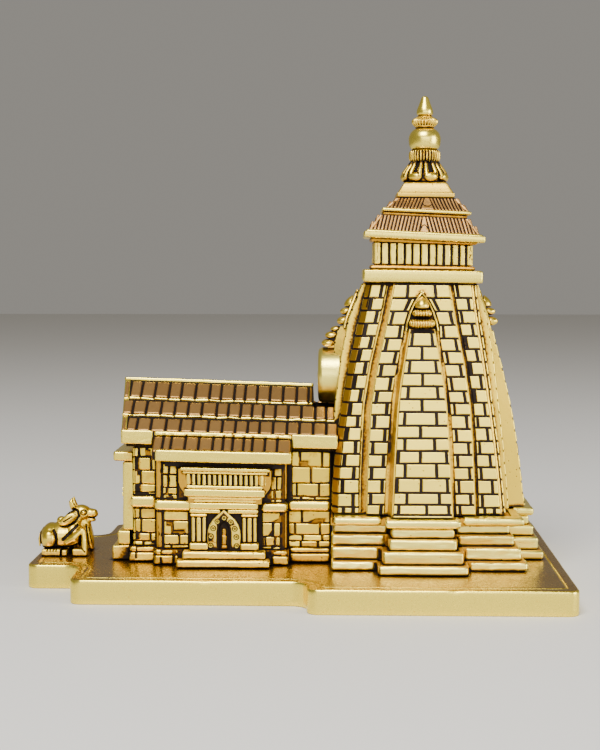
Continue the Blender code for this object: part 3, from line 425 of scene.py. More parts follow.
class Mason:
    """Casts blocks into cells with Geometry Nodes."""

    def __init__(self) -> None:
        """Builds the tree, and starts with no block patterns."""
        self.patterns: dict[tuple[int, Row], bpy.types.Object] = {}
        self.tree = GeometryTree("Blocks in cells",
            {"Block": "Object", "Edge": "Float", "Joint": "Float", "Bed": "Float", "Stagger": "Float",
             "Tilt": "Float", "Wobble": "Float", "Grain": "Float", "Seed": "Int"})
        tree = self.tree
        span = tree.wire("FunctionNodeRandomValue", {"data_type": "FLOAT_VECTOR"},
                         {"Min": (-1, -1, -1), "Max": (1, 1, 1), "Seed": tree.given("Seed")})
        points = tree.store(tree.given("Geometry"), "jitter", span)
        block = tree.wire("GeometryNodeObjectInfo", {}, {"Object": tree.given("Block")}, "Geometry")
        laid = tree.wire("GeometryNodeInstanceOnPoints", {}, {"Points": points, "Instance": block})
        laid = tree.wire("GeometryNodeRealizeInstances", {}, {"Geometry": laid})
        lean_x, lean_y, lean_z = tree.attribute("lean").parts()
        inset_x, inset_y, inset_z = tree.attribute("inset").parts()
        a, b, c, d = (tree.attribute(f"corner_{i}") for i in range(4))
        jitter = tree.attribute("jitter").parts()
        edge, joint = tree.given("Edge"), tree.given("Joint")
        across, upwards = b - a, d - a
        wide, high = across.length(), upwards.length()
        s = 0.5 + lean_x * (0.5 - joint * 0.5 / wide) + inset_x * edge / wide
        t = 0.5 + lean_z * (0.5 - tree.given("Bed") * 0.5 / high) + inset_z * edge / high
        out = tree.wire("ShaderNodeVectorMath", {"operation": "CROSS_PRODUCT"}, {0: across, 1: upwards})
        out = tree.wire("ShaderNodeVectorMath", {"operation": "NORMALIZE"}, {0: out})
        front = lean_y * 0.5 + 0.5
        face = (jitter[0] * 0.5 - 0.5) * tree.given("Stagger") \
            + (jitter[1] * (s - 0.5) + jitter[2] * (t - 0.5)) * tree.given("Tilt") - tree.given("Tilt") * 0.5
        deep = (lean_y - 1.0) * 0.5 * tree.attribute("depth", "FLOAT") + front * face + inset_y * edge
        low, top = a + across * s, d + (c - d) * s
        place = low + (top - low) * t + out * deep
        noise = tree.wire("ShaderNodeTexNoise", {"noise_dimensions": "4D"},
                          {"Vector": place, "W": tree.given("Seed") * 3.7, "Scale": tree.given("Grain"),
                           "Detail": 2.0}, "Color")
        shake = (noise - (0.5, 0.5, 0.5)) * tree.given("Wobble") - out * (tree.given("Wobble") * 0.25)
        tree.close(tree.wire("GeometryNodeSetPosition", {},
                             {"Geometry": laid, "Position": place + shake * front}))

    def _pattern(self, rounds: int, middles: Row) -> bpy.types.Object:
        """The block that is repeated: where each point leans in its cell, and how far it is rounded in.

        Args:
            rounds: steps of the rounding.
            middles: extra lines across the face, from -1 to 1.

        Returns:
            An object that isn't part of the model.
        """
        if (rounds, middles) in self.patterns:
            return self.patterns[rounds, middles]
        close = 0.5 + 0.5 * max((0.86, *middles))
        stops = [(-1.0, 1 - k / rounds) for k in range(rounds + 1)]
        stops += [(m, 0.0) for m in (-close, *middles, close)] + [(1.0, k / rounds)
            for k in range(rounds + 1)]
        count = len(stops)
        lean, inset = [], []
        for lean_z, share_z in stops:
            for lean_x, share_x in stops:
                u, w = math.sin(share_x * math.pi / 2), math.sin(share_z * math.pi / 2)
                x, z = u * math.sqrt(1 - w * w / 2), w * math.sqrt(1 - u * u / 2)
                deep = math.sqrt(max(0.0, 1 - x * x - z * z))
                lean.append((lean_x, 1.0, lean_z))
                inset.append((-lean_x * (1 - x), -(1 - deep), -lean_z * (1 - z)))
        rim = [*range(count), *range(2 * count - 1, count * count, count)]
        rim += [*range(count * count - 2, count * (count - 1) - 1, -1),
                *range(count * (count - 2), 0, -count)]
        faces: list[tuple[int, ...]] = [(j * count + i, j * count + i + 1, (j + 1) * count + i + 1,
            (j + 1) * count + i) for j in range(count - 1) for i in range(count - 1)]
        back = len(lean)
        for k, i in enumerate(rim):
            lean.append((lean[i][0], -1.0, lean[i][2]))
            inset.append((inset[i][0], 0.0, inset[i][2]))
            after = (k + 1) % len(rim)
            faces.append((back + k, back + after, rim[after], i))
        faces.append(tuple(reversed(range(back, back + len(rim)))))
        mesh = bpy.data.meshes.new("block")
        mesh.from_pydata([(x, -y, z) for x, y, z in lean], [], faces)
        for name, values in (("lean", lean), ("inset", inset)):
            mesh.attributes.new(name, "FLOAT_VECTOR", "POINT").data.foreach_set("vector", np.ravel(values))
        pattern = bpy.data.objects.new("block", mesh)
        self.patterns[rounds, middles] = pattern
        return pattern

    def lay(self, cells: Sequence[Cell], way: Lay) -> Shape:
        """Casts one block in each cell.

        Args:
            cells: where the blocks go.
            way: how they are cast.

        Returns:
            The blocks, each a closed solid.
        """
        corners = np.array([cell.corners for cell in cells], np.float32)
        source = bpy.data.meshes.new("cells")
        source.from_pydata(corners.mean(axis=1).tolist(), [], [])
        for i in range(4):
            source.attributes.new(f"corner_{i}", "FLOAT_VECTOR", "POINT").data.foreach_set("vector",
                corners[:, i].ravel())
        source.attributes.new("depth", "FLOAT", "POINT").data.foreach_set("value",
            [cell.depth for cell in cells])
        made = self.tree.run(source, {"Block": self._pattern(way.rounds, way.middles), "Edge": way.edge,
            "Joint": way.joint, "Bed": way.joint if way.bed is None else way.bed, "Stagger": way.stagger,
            "Tilt": way.tilt, "Wobble": way.wobble, "Grain": way.grain, "Seed": way.seed})
        shape = Shape.read(made)
        bpy.data.meshes.remove(made)
        return shape


class PatinaAndShade:
    """Works out at every point how closely surfaces stand round it, for patina in its hollows and painted
    shade where parts stand close or overhang, and how near a worn edge it is.
    """

    RAYS = 20
    LIFT = 0.03
    FADE = 0.8

    def __init__(self, reach: float = 3.2, bite: float = 0.28) -> None:
        """Builds the tree that looks round from every point.

        Args:
            reach: how far other surfaces are looked for, for the patina and painted shade, in millimetres.
            bite: how far below the surface an edge is looked for.
        """
        self.tree = GeometryTree("Hollows and edges", {"Reach": "Float", "Bite": "Float"})
        tree = self.tree
        solid, place = tree.given("Geometry"), tree.wire("GeometryNodeInputPosition")
        normal = tree.wire("GeometryNodeInputNormal")
        hollow, edge = None, None
        for i in range(self.RAYS):
            z = 1 - (2 * i + 1) / self.RAYS
            turn, r = i * math.pi * (3 - math.sqrt(5)), math.sqrt(1 - z * z)
            spot = (r * math.cos(turn), r * math.sin(turn), z)
            look = self._look(solid, place + normal * self.LIFT, normal * 1.05 + spot, tree.given("Reach"))
            bare = self._look(solid, place - normal * tree.given("Bite"), normal * 0.0 + spot,
                              tree.given("Bite") * 1.9)
            hollow, edge = (look, bare) if i == 0 else (hollow + look, edge + bare)
        # patina and painted shade: the share of rays that meet a surface close by
        solid = tree.store(solid, "hollow", hollow / self.RAYS, "FLOAT")
        tree.close(tree.store(solid, "worn", edge / self.RAYS, "FLOAT"))
        self.reach, self.bite = reach, bite

    def _look(self, solid: Wire, start: Wire, towards: Wire, reach: Wire) -> Wire:
        """How close something stands in one direction: 0 for nothing, 1 for touching."""
        ray = self.tree.node("GeometryNodeRaycast", {}, {"Target Geometry": solid, "Source Position": start,
                                                         "Ray Direction": towards, "Ray Length": reach})
        hit, far = Wire(self.tree, ray.outputs["Is Hit"]), Wire(self.tree, ray.outputs["Hit Distance"])
        return hit * (1.0 - far / reach * self.FADE)

    def settle(self, pieces: Sequence[bpy.types.Object]) -> None:
        """Stores both values on every piece, each seen among all the others, so that parts also cast painted
        shade on one another.
        """
        points, faces, starts = [], [], []
        count = 0
        for piece in pieces:
            shape = Shape.read(piece.data, 1 / MM)
            starts.append(count)
            points.append(shape.points)
            faces += [tuple(i + count for i in face) for face in shape.faces]
            count += len(shape.points)
        everything = Shape(np.vstack(points), faces).mesh("everything")
        seen = self.tree.run(everything, {"Reach": self.reach, "Bite": self.bite})
        for name in ("hollow", "worn"):
            values = np.zeros(count, np.float32)
            seen.attributes[name].data.foreach_get("value", values)
            for piece, start in zip(pieces, starts):
                own = piece.data.attributes.get(name) or piece.data.attributes.new(name, "FLOAT", "POINT")
                own.data.foreach_set("value", values[start:start + len(piece.data.vertices)])
        bpy.data.meshes.remove(seen)


class Slot(Enum):
    """The record's finishes, named with each piece."""

    POLISHED = "polished_brass"
    MASONRY = "masonry_brass"
    ROOF = "roof_brass"
    FIGURE = "figure_brass"


@dataclass(frozen=True)
class Brass:
    """Cast brass darkened in its hollows and where parts stand close, as patina and painted shade, brown in
    its lows and with bright worn edges.

    Colours are linear. Sizes of the patterns are in millimetres.
    """

    name: str
    pale: Colour = (0.98, 0.74, 0.09)
    gold: Colour = (0.82, 0.52, 0.055)
    brown: Colour = (0.24, 0.11, 0.008)
    soot: Colour = (0.012, 0.006, 0.003)
    patina_and_shade_weight: float = 1.0
    lift: float = 0.0
    gloss: float = 0.30
    grain: float = 0.05
    speck: float = 0.35
    cloud: float = 6.0

    def _noise(self, tree: NodeTree, place: Wire, size: float, detail: float = 3.0) -> Wire:
        """Noise with lumps of that size."""
        return tree.wire("ShaderNodeTexNoise", {},
                         {"Vector": place, "Scale": 1 / (size * MM), "Detail": detail}, "Fac")

    def material(self) -> bpy.types.Material:
        """Builds the material.

        Returns:
            A material that reads the patina and painted shade, the worn edges and the tone of the piece it is
            on.
        """
        material = bpy.data.materials.new(self.name)
        material.use_nodes = True
        material.node_tree.nodes.clear()
        tree = NodeTree(material.node_tree)
        place = tree.wire("ShaderNodeTexCoord", {}, {}, "Object")
        hollow, worn, tone = (tree.wire("ShaderNodeAttribute", {"attribute_name": name}, {}, "Fac")
                              for name in ("hollow", "worn", "tone"))
        cloud = self._noise(tree, place, self.cloud) - 0.5
        fine = self._noise(tree, place, 0.9, 4.0) - 0.5
        pits = tree.wire("ShaderNodeTexVoronoi", {"feature": "F1"},
                         {"Vector": place, "Scale": 1 / (1.7 * MM), "Randomness": 1.0}, "Distance")
        rare = self._noise(tree, place, 3.1).step(0.5, 0.62)
        pit = (1.0 - pits.step(0.10, 0.20)) * rare * self.speck
        # patina and painted shade: darker where surfaces stand close round a point, with mottled noise
        low = (hollow * 2.1 * self.patina_and_shade_weight + cloud * 0.6 + fine * 0.75 - 0.10).clamp()
        edge = (worn.step(0.30, 0.46) * (1.0 - low)).clamp()
        # tone: random block tone, the plate top's painted reflection and the bull's darkened lines
        shade = (low + pit * 0.8 - edge * 0.22 - self.lift + tone * 0.07).clamp()
        colour = tree.wire("ShaderNodeValToRGB", {"stops": (
            (0.0, self.pale), (0.22, tuple(0.45 * p + 0.55 * g for p, g in zip(self.pale, self.gold))),
            (0.42, self.gold), (0.66, self.brown), (0.88, self.soot))}, {"Fac": shade}, "Color")
        rough = (self.gloss + low * 0.35 + fine * 0.10 + pit * 0.2).clamp()
        metal = (1.0 - shade.step(0.62, 0.95) * 0.3).clamp()
        height = fine * 0.5 + self._noise(tree, place, 0.28, 2.0) * 0.4 - pit * 1.6
        bump = tree.wire("ShaderNodeBump", {},
                         {"Height": height, "Distance": self.grain * MM, "Strength": 0.75})
        shader = tree.wire("ShaderNodeBsdfPrincipled", {}, {
            "Base Color": colour, "Roughness": rough, "Metallic": metal, "Normal": bump})
        tree.node("ShaderNodeOutputMaterial", {}, {"Surface": shader})
        return material


@dataclass
class Foundry:
    """Makes the finished pieces, and keeps the mason, the finishes and the list of what was made."""

    mason: Mason = field(default_factory=Mason)
    finishes: dict[str, bpy.types.Material] = field(default_factory=dict)
    pieces: list[bpy.types.Object] = field(default_factory=list)

    @property
    def lay(self) -> Callable[[Sequence[Cell], Lay], Shape]:
        """The mason's way of casting cells."""
        return self.mason.lay

    def finish(self, brass: Brass) -> bpy.types.Material:
        """The material of a finish, made once."""
        if brass.name not in self.finishes:
            self.finishes[brass.name] = brass.material()
        return self.finishes[brass.name]

    def piece(self, name: str, parts: Sequence[tuple[Shape, Brass]], nodes: str, slot: Slot = Slot.MASONRY,
              sharp: float = 38.0, bend: Callable[[np.ndarray], np.ndarray] = np.asarray) -> None:
        """Makes one piece of the model.

        Args:
            name: the piece's name.
            parts: its shapes, each with its finish.
            nodes: the CAD nodes that it stands for.
            slot: the record's finish it follows; not used.
            sharp: angle past which an edge is left sharp, in degrees.
            bend: a rule that moves all its points.
        """
        whole = total(shape for shape, _ in parts).mapped(bend)
        mesh = whole.mesh(name, MM)
        look: list[int] = []
        for i, (shape, brass) in enumerate(parts):
            mesh.materials.append(self.finish(brass))
            look += [i] * len(shape.faces)
        mesh.polygons.foreach_set("material_index", look)
        mesh.attributes.new("tone", "FLOAT", "POINT").data.foreach_set("value", whole.tone)
        mesh.shade_smooth()
        mesh.set_sharp_from_angle(angle=math.radians(sharp))
        piece = in_scene(name, mesh)
        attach(piece, "root")
        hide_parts(*nodes.split())
        self.pieces.append(piece)
        LOG.info("%s: %d points, %d faces", name, len(mesh.vertices), len(mesh.polygons))


SATIN = Brass("satin brass", pale=(0.98, 0.78, 0.11), gloss=0.28, grain=0.02, speck=0.5, patina_and_shade_weight=0.4,
              cloud=11.0)
WORN = Brass("worn masonry brass", speck=1.0, grain=0.08, gloss=0.34)
# faces turned aside, rib flanks and the tower body: the darker gold is painted shade
SIDE_SHADE = Brass("golden flank brass", pale=(0.82, 0.57, 0.05), gold=(0.70, 0.43, 0.035), speck=0.9, grain=0.05,
              gloss=0.36, patina_and_shade_weight=0.8, lift=-0.08)
# cores seen in joints, and painted shade on recessed, underside and turned faces
AMBER_JOINT_AND_SHADE = Brass("amber groove brass", pale=(0.62, 0.34, 0.022), gold=(0.48, 0.23, 0.013),
              brown=(0.20, 0.08, 0.005), speck=0.5, grain=0.05, gloss=0.38, lift=-0.08)
# tile slopes: their darker tan colour is a painted reflection of the darker surroundings above
TILE_REFLECTION = Brass("tan tile brass", pale=(0.54, 0.30, 0.095), gold=(0.40, 0.20, 0.04), gloss=0.42, grain=0.03,
              speck=0.3, patina_and_shade_weight=0.5, cloud=9.0)
# near black: dark joints, and painted shade behind the storey's bars and under the niche cornice
JOINT_AND_SHADE = Brass("sooted brass", lift=-1.3, gloss=0.5, speck=0.0)
FIGURED = Brass("figure brass", pale=(0.96, 0.70, 0.07), speck=0.4, gloss=0.30, patina_and_shade_weight=1.25, grain=0.03,
                lift=-0.06)
MORTAR = replace(AMBER_JOINT_AND_SHADE, name="brown mortar brass", lift=-0.74)
# groove floors: golden brown as painted shade in the grooves
GROOVE_SHADE = replace(AMBER_JOINT_AND_SHADE, name="golden groove brass", pale=(0.64, 0.37, 0.025), gold=(0.50, 0.26, 0.014),
                 patina_and_shade_weight=0.6)
# roof cap: a darker copy, painted reflection on its upward faces
CAP_REFLECTION = replace(SIDE_SHADE, name="dull cap brass", pale=(0.76, 0.50, 0.05), gold=(0.60, 0.34, 0.03))
STONE = replace(WORN, name="mottled hall brass", pale=(0.92, 0.66, 0.05), gold=(0.68, 0.40, 0.025),
                lift=-0.17, cloud=4.0, patina_and_shade_weight=0.9)
# a lighter copy of the worn masonry brass: painted light on the plinth, sill and drum
LIT_WORN = replace(WORN, name="bright plinth brass", pale=(1.0, 0.84, 0.17), gold=(0.94, 0.68, 0.09), lift=0.22,
                 gloss=0.30, patina_and_shade_weight=0.4)


def sink(points: np.ndarray) -> np.ndarray:
    """Closes the hall's courses up a little towards the tower, as on the casting."""
    share = (points[:, 0] - HALL_ENDS[0]) / (HALL_ENDS[1] - HALL_ENDS[0])
    points[:, 2] -= np.maximum(points[:, 2] - PLATE_TOP, 0) * HALL_FALL * share
    return points


def front(x: Pair, z: Pair, reach: float, depth: float) -> Cell:
    """An upright cell on the front side."""
    return Cell(((x[0], -reach, z[0]), (x[1], -reach, z[0]), (x[1], -reach, z[1]), (x[0], -reach, z[1])),
                depth)


def facing_left(y: Pair, z: Pair, x: float, depth: float) -> Cell:
    """An upright cell that faces the left end; y falls from its left edge to its right."""
    return Cell(((x, y[1], z[0]), (x, y[0], z[0]), (x, y[0], z[1]), (x, y[1], z[1])), depth)


def facing_right(y: Pair, z: Pair, x: float, depth: float) -> Cell:
    """An upright cell that faces the right end."""
    return Cell(((x, y[0], z[0]), (x, y[1], z[0]), (x, y[1], z[1]), (x, y[0], z[1])), depth)


def split(x: Pair, shares: Sequence[float]) -> list[Pair]:
    """Cuts a span at the given shares of its length."""
    stops = [x[0] + (x[1] - x[0]) * s for s in (0.0, *shares, 1.0)]
    return list(zip(stops, stops[1:]))


@dataclass
class BasePlate:
    """The stepped plate with its tongue, rounded edge and engraved line."""

    length: float = 203.0
    thick: float = PLATE_TOP
    tongue_half: float = 31.2
    hall_half: float = 57.2
    tower_half: float = 70.3
    tongue_x: float = -80.6
    step_x: float = 5.8
    outer: float = 4.06
    inner: float = 6.29
    edge: float = 0.9
    line: Point = (3.8, 4.5, 0.4)
    top_reflection_tone: float = 8.0

    def outline(self, inset: float) -> list[Pair]:
        """The plate's outline, moved in.

        Args:
            inset: how far in.

        Returns:
            Points in plan, anticlockwise; as many for every inset.
        """
        outer, inner = max(self.outer - inset, 0.4 * self.outer), self.inner + inset
        end = self.length / 2 - inset
        half = [(-end, -self.tongue_half + inset, outer),
                (self.tongue_x + inset, -self.tongue_half + inset, inner),
                (self.tongue_x + inset, -self.hall_half + inset, outer),
                (self.step_x + inset, -self.hall_half + inset, inner),
                (self.step_x + inset, -self.tower_half + inset, outer),
                (end, -self.tower_half + inset, outer)]
        corners = half + [(x, -y, r) for x, y, r in reversed(half)]
        runs = [(57, 12), (18, 3), (20, 8), (80, 32), (5, 2), (90, 36), (135, 54), (90, 36), (5, 2), (80, 32),
                (20, 8), (18, 3)]
        points: list[Pair] = []
        arcs = []
        for i, (x, y, radius) in enumerate(corners):
            here = Vector((x, y))
            last = (Vector(corners[i - 1][:2]) - here).normalized()
            after = (Vector(corners[(i + 1) % len(corners)][:2]) - here).normalized()
            middle = here + (last + after) * radius
            arcs.append([middle - after * radius * math.cos(a) - last * radius * math.sin(a)
                         for a in (0.5 * math.pi * k / 7 for k in range(8))])
        for i, arc in enumerate(arcs):
            points += [tuple(p) for p in arc]
            start, end_point, count = arc[-1], arcs[(i + 1) % len(arcs)][0], runs[(i + 1) % len(runs)][1]
            points += [tuple(start.lerp(end_point, k / count)) for k in range(1, count)]
        return points

    def build(self, foundry: Foundry) -> None:
        """Makes the plate."""
        low, high, deep = self.line
        edge, top = self.edge, self.thick
        rows = [(0.0, 0.45), (0.2, 0.15), (0.55, 0.0), (2.2, 0.0), (3.8, 0.0), (5.4, 0.0), (7.0, 0.0),
                (top - edge, 0.0), (top - 0.62 * edge, 0.08 * edge), (top - 0.29 * edge, 0.29 * edge),
                (top - 0.08 * edge, 0.62 * edge), (top, edge), (top, 2.2), (top, low - 0.15),
                (top - 0.1, low), (top - deep, low + 0.2), (top - deep, high - 0.2), (top - 0.1, high),
                (top, high + 0.15), (top, high + 1.2)]
        plate = loft([[(x, y, z) for x, y in self.outline(inset)] for z, inset in rows]).dense(2.1, "xy")
        # painted reflection: the plate's flat top is darker than its rounded rim
        plate.tone = self.top_reflection_tone * np.clip((plate.points[:, 2] - top + 0.12) / 0.1, 0.0, 1.0)
        foundry.piece("base_plate_cast", [(plate, SATIN)], "base_plate", Slot.POLISHED, 50, self.handworked)

    def handworked(self, points: np.ndarray) -> np.ndarray:
        """Lets the plate's faces run slightly out of true, with a few knocks on the front edge."""
        x, y, z = points.T
        inside = 0.035 * (np.sin(x * 0.21 + y * 0.13) + np.sin(y * 0.31 - x * 0.11) - 2.0)
        points[:, 2] += np.where(z > 6.0, inside, 0.0)
        for at, size, deep in (((-79.2, -56.6, 8.9), 1.6, 0.5), ((6.9, -69.6, 8.8), 1.4, 0.4),
                               ((-31.0, -57.2, 9.0), 1.2, 0.25), ((58.0, -70.3, 9.0), 1.5, 0.25),
                               ((-100.8, -30.2, 8.9), 1.4, 0.35)):
            away = np.linalg.norm(points - at, axis=1)
            points += (np.exp(-(away / size) ** 2) * deep)[:, None] * np.array((0.0, 0.6, -0.8))
        return points


@dataclass
class HallWalls:
    """The hall's coursed walls with their piers, string course and footing."""

    left: float = HALL_ENDS[0]
    right: float = 13.7
    wall: float = 23.5
    pier: float = 29.0
    near: Pair = (-52.4, -39.5)
    far: Pair = (-12.0, -3.0)
    relief: float = 0.75
    foot_out: float = 2.2
    string_out: float = 1.2
    corner_rows: Row = (15.2, 17.0, 20.1, 25.6, 29.8, 34.7, 35.8, 39.0, 44.3, 49.4, 53.3)
    near_rows: Row = (15.0, 16.6, 20.6, 26.0, 29.8, 34.2, 36.1, 38.8, 43.8, 48.0, 53.3)
    far_rows: Row = (14.9, 16.4, 20.2, 25.7, 29.8, 33.4, 34.9, 38.4, 43.7, 47.2, 53.3)
    bay_rows: Row = (14.9, 17.6, 20.1, 24.7, 29.7, 33.9, 35.2, 40.5, 47.1, 53.3)

    def outline(self, out: float) -> list[Pair]:
        """The walls' plan, moved outwards."""
        wall, pier = self.wall + out, self.pier + out
        half = [(self.left - out, -wall), (self.near[0] - out, -wall), (self.near[0] - out, -pier),
                (self.far[1] + out, -pier), (self.far[1] + out, -wall), (self.right, -wall)]
        return half + [(x, -y) for x, y in reversed(half)]

    def courses(self, x: Pair, reach: float, rows: Sequence[float], joints: Sequence[Sequence[float]],
                place: Callable[..., Cell] = front) -> list[Cell]:
        """The cells of one strip of wall.

        Args:
            x: the strip's limits.
            reach: how far out it stands.
            rows: heights of the bed joints.
            joints: for each course the shares at which it is cut; None leaves the course out.
            place: what makes a cell of the strip.

        Returns:
            The cells.
        """
        return [place(span, (low, high), reach, self.relief + 0.3)
                for low, high, cuts in zip(rows, rows[1:], joints) if cuts is not None
                for span in split(x, cuts)]

    def build(self, foundry: Foundry) -> None:
        """Makes the walls, the footing and the string course."""
        corner = [(0.45,), (0.75,), (0.36,), (0.34,), None, (0.62,), (), (0.36,), (0.8,), (0.3, 0.62)]
        near = [(0.3,), (0.62,), (0.35,), (), None, (0.5,), (0.3,), (0.4,), (0.44,), (0.55,)]
        far = [(0.55,), (0.18, 0.7), (0.6,), (), None, (0.4,), (0.35,), (0.55,), (0.25,), (0.5,)]
        bay = [(0.3, 0.7), (0.35, 0.8), (0.17, 0.75), (0.33,), None, (0.25, 0.6), (0.14, 0.7), (0.5,),
               (0.22, 0.78)]
        below = lambda rows: [cuts if k < 4 else None for k, cuts in enumerate(rows)]
        above = lambda rows: [cuts if k > 4 else None for k, cuts in enumerate(rows)]
        cells = self.courses((self.left, self.near[0] - 0.6), self.wall, self.corner_rows, corner)
        cells += self.courses((-49.9, -44.1), self.pier, self.near_rows, above(near))
        cells += self.courses((-49.6, -39.9), self.pier, self.near_rows, below(near))
        cells += self.courses((-9.1, -4.6), self.pier, self.far_rows, above(far))
        cells += self.courses((-12.3, -5.2), self.pier, self.far_rows, below(far))
        cells += self.courses((-1.4, self.right), self.wall, self.bay_rows, above(bay))
        cells += self.courses((self.far[1] + 0.3, self.right), self.wall, self.bay_rows, below(bay))
        end = (-self.wall + 0.05, -20.6)
        cells += self.courses(end, self.left, self.corner_rows, [c and () for c in corner], facing_left)
        way = Lay(seed=4, edge=0.42, joint=0.5, bed=0.36, stagger=0.35, tilt=0.4, wobble=0.6, grain=0.4)
        bricks = foundry.lay(cells, way).both()
        storeys = ((15.2, 29.6), (34.6, 53.3))
        smooth = [front((self.near[0], -50.1), z, self.pier - 0.3, 6.0) for z in storeys]
        smooth += [front((-4.4, self.far[1] + 0.1), z, self.pier - 1.2, 5.0) for z in storeys]
        smooth += [front((self.near[0] - 1.1, self.near[0] - 0.2), (15.2, 53.3), self.wall - 0.3, 1.0)]
        flanks = foundry.lay(smooth, Lay(rounds=3, middles=even(7), edge=0.6, joint=0.1, wobble=0.5,
                                               stagger=0.2, tilt=0.2, seed=8)).both()
        core = loft([[(x, y, z) for x, y in self.outline(-self.relief)] for z in (9.4, 53.4)]).dense(1.5)
        foundry.piece("hall_masonry", [(bricks, STONE), (flanks, AMBER_JOINT_AND_SHADE), (core, MORTAR)],
                      "hall_wall_lower hall_wall_upper", sharp=50, bend=sink)

        spans = ((self.left - 0.8, self.near[0] - 0.5, self.wall, 30.0, 34.6),
                 (self.near[0] - 0.5, self.near[1] + 1.0, self.pier, 29.9, 34.1),
                 (self.far[0] - 0.5, self.far[1] + 0.5, self.pier, 29.8, 33.6),
                 (self.far[1] + 0.5, self.right, self.wall, 29.7, 33.7))
        bars = [front((x0, x1), (low, high), reach + self.string_out, 2.4)
                for x0, x1, reach, low, high in spans]
        bars += [facing_left((-self.pier - 1.1, -self.wall), (29.9, 34.1), self.near[0] - 0.6, 2.0),
                 facing_right((-self.pier - 1.1, -self.wall), (29.8, 33.6), self.far[1] + 0.6, 2.0),
                 facing_left((-self.wall - 1.1, -20.6), (30.0, 34.6), self.left - 0.8, 2.0)]
        courses = foundry.lay(bars, Lay(rounds=4, middles=(-0.6, -0.2, 0.2, 0.6), edge=1.15, joint=0.3,
            wobble=0.25, tilt=0.15, seed=9)).both()
        foundry.piece("hall_string", [(courses, SATIN)], "hall_string_course", bend=sink)

        blocks = []
        for x0, x1, reach, cuts in ((self.left - 1.4, self.near[0] - 0.9, self.wall, (0.12,)),
                (self.near[0] - 0.9, -43.6, self.pier, (0.8,)), (-9.6, self.far[1] + 0.9, self.pier, (0.15,)),
                (self.far[1] + 0.9, self.right, self.wall, ())):
            for span in split((x0, x1), cuts):
                blocks += [front(span, (9.25, 13.1), reach + self.foot_out, 2.9),
                           front(span, (13.0, 15.2), reach + self.foot_out - 0.5, 2.4)]
        for low, high, out in ((9.25, 13.1, 2.2), (13.0, 15.2, 1.7)):
            side = (-self.pier - 2.0, -self.wall)
            blocks += [facing_left(side, (low, high), self.near[0] - out * 0.5, 2.6),
                       facing_right(side, (low, high), self.far[1] + out * 0.5, 2.6),
                       facing_left((-self.wall - 2.0, -20.6), (low, high), self.left - out * 0.66, 2.6)]
        stones = foundry.lay(blocks, Lay(rounds=3, middles=even(2), edge=0.75, joint=0.4, wobble=0.5,
                                               tilt=0.4, stagger=0.3, seed=15)).both()
        core = loft([[(x, y, z) for x, y in self.outline(0.9)] for z in (9.3, 15.0)]).dense(1.6)
        foundry.piece("hall_foot_stones", [(stones, STONE), (core, MORTAR)], "hall_footing", bend=sink)


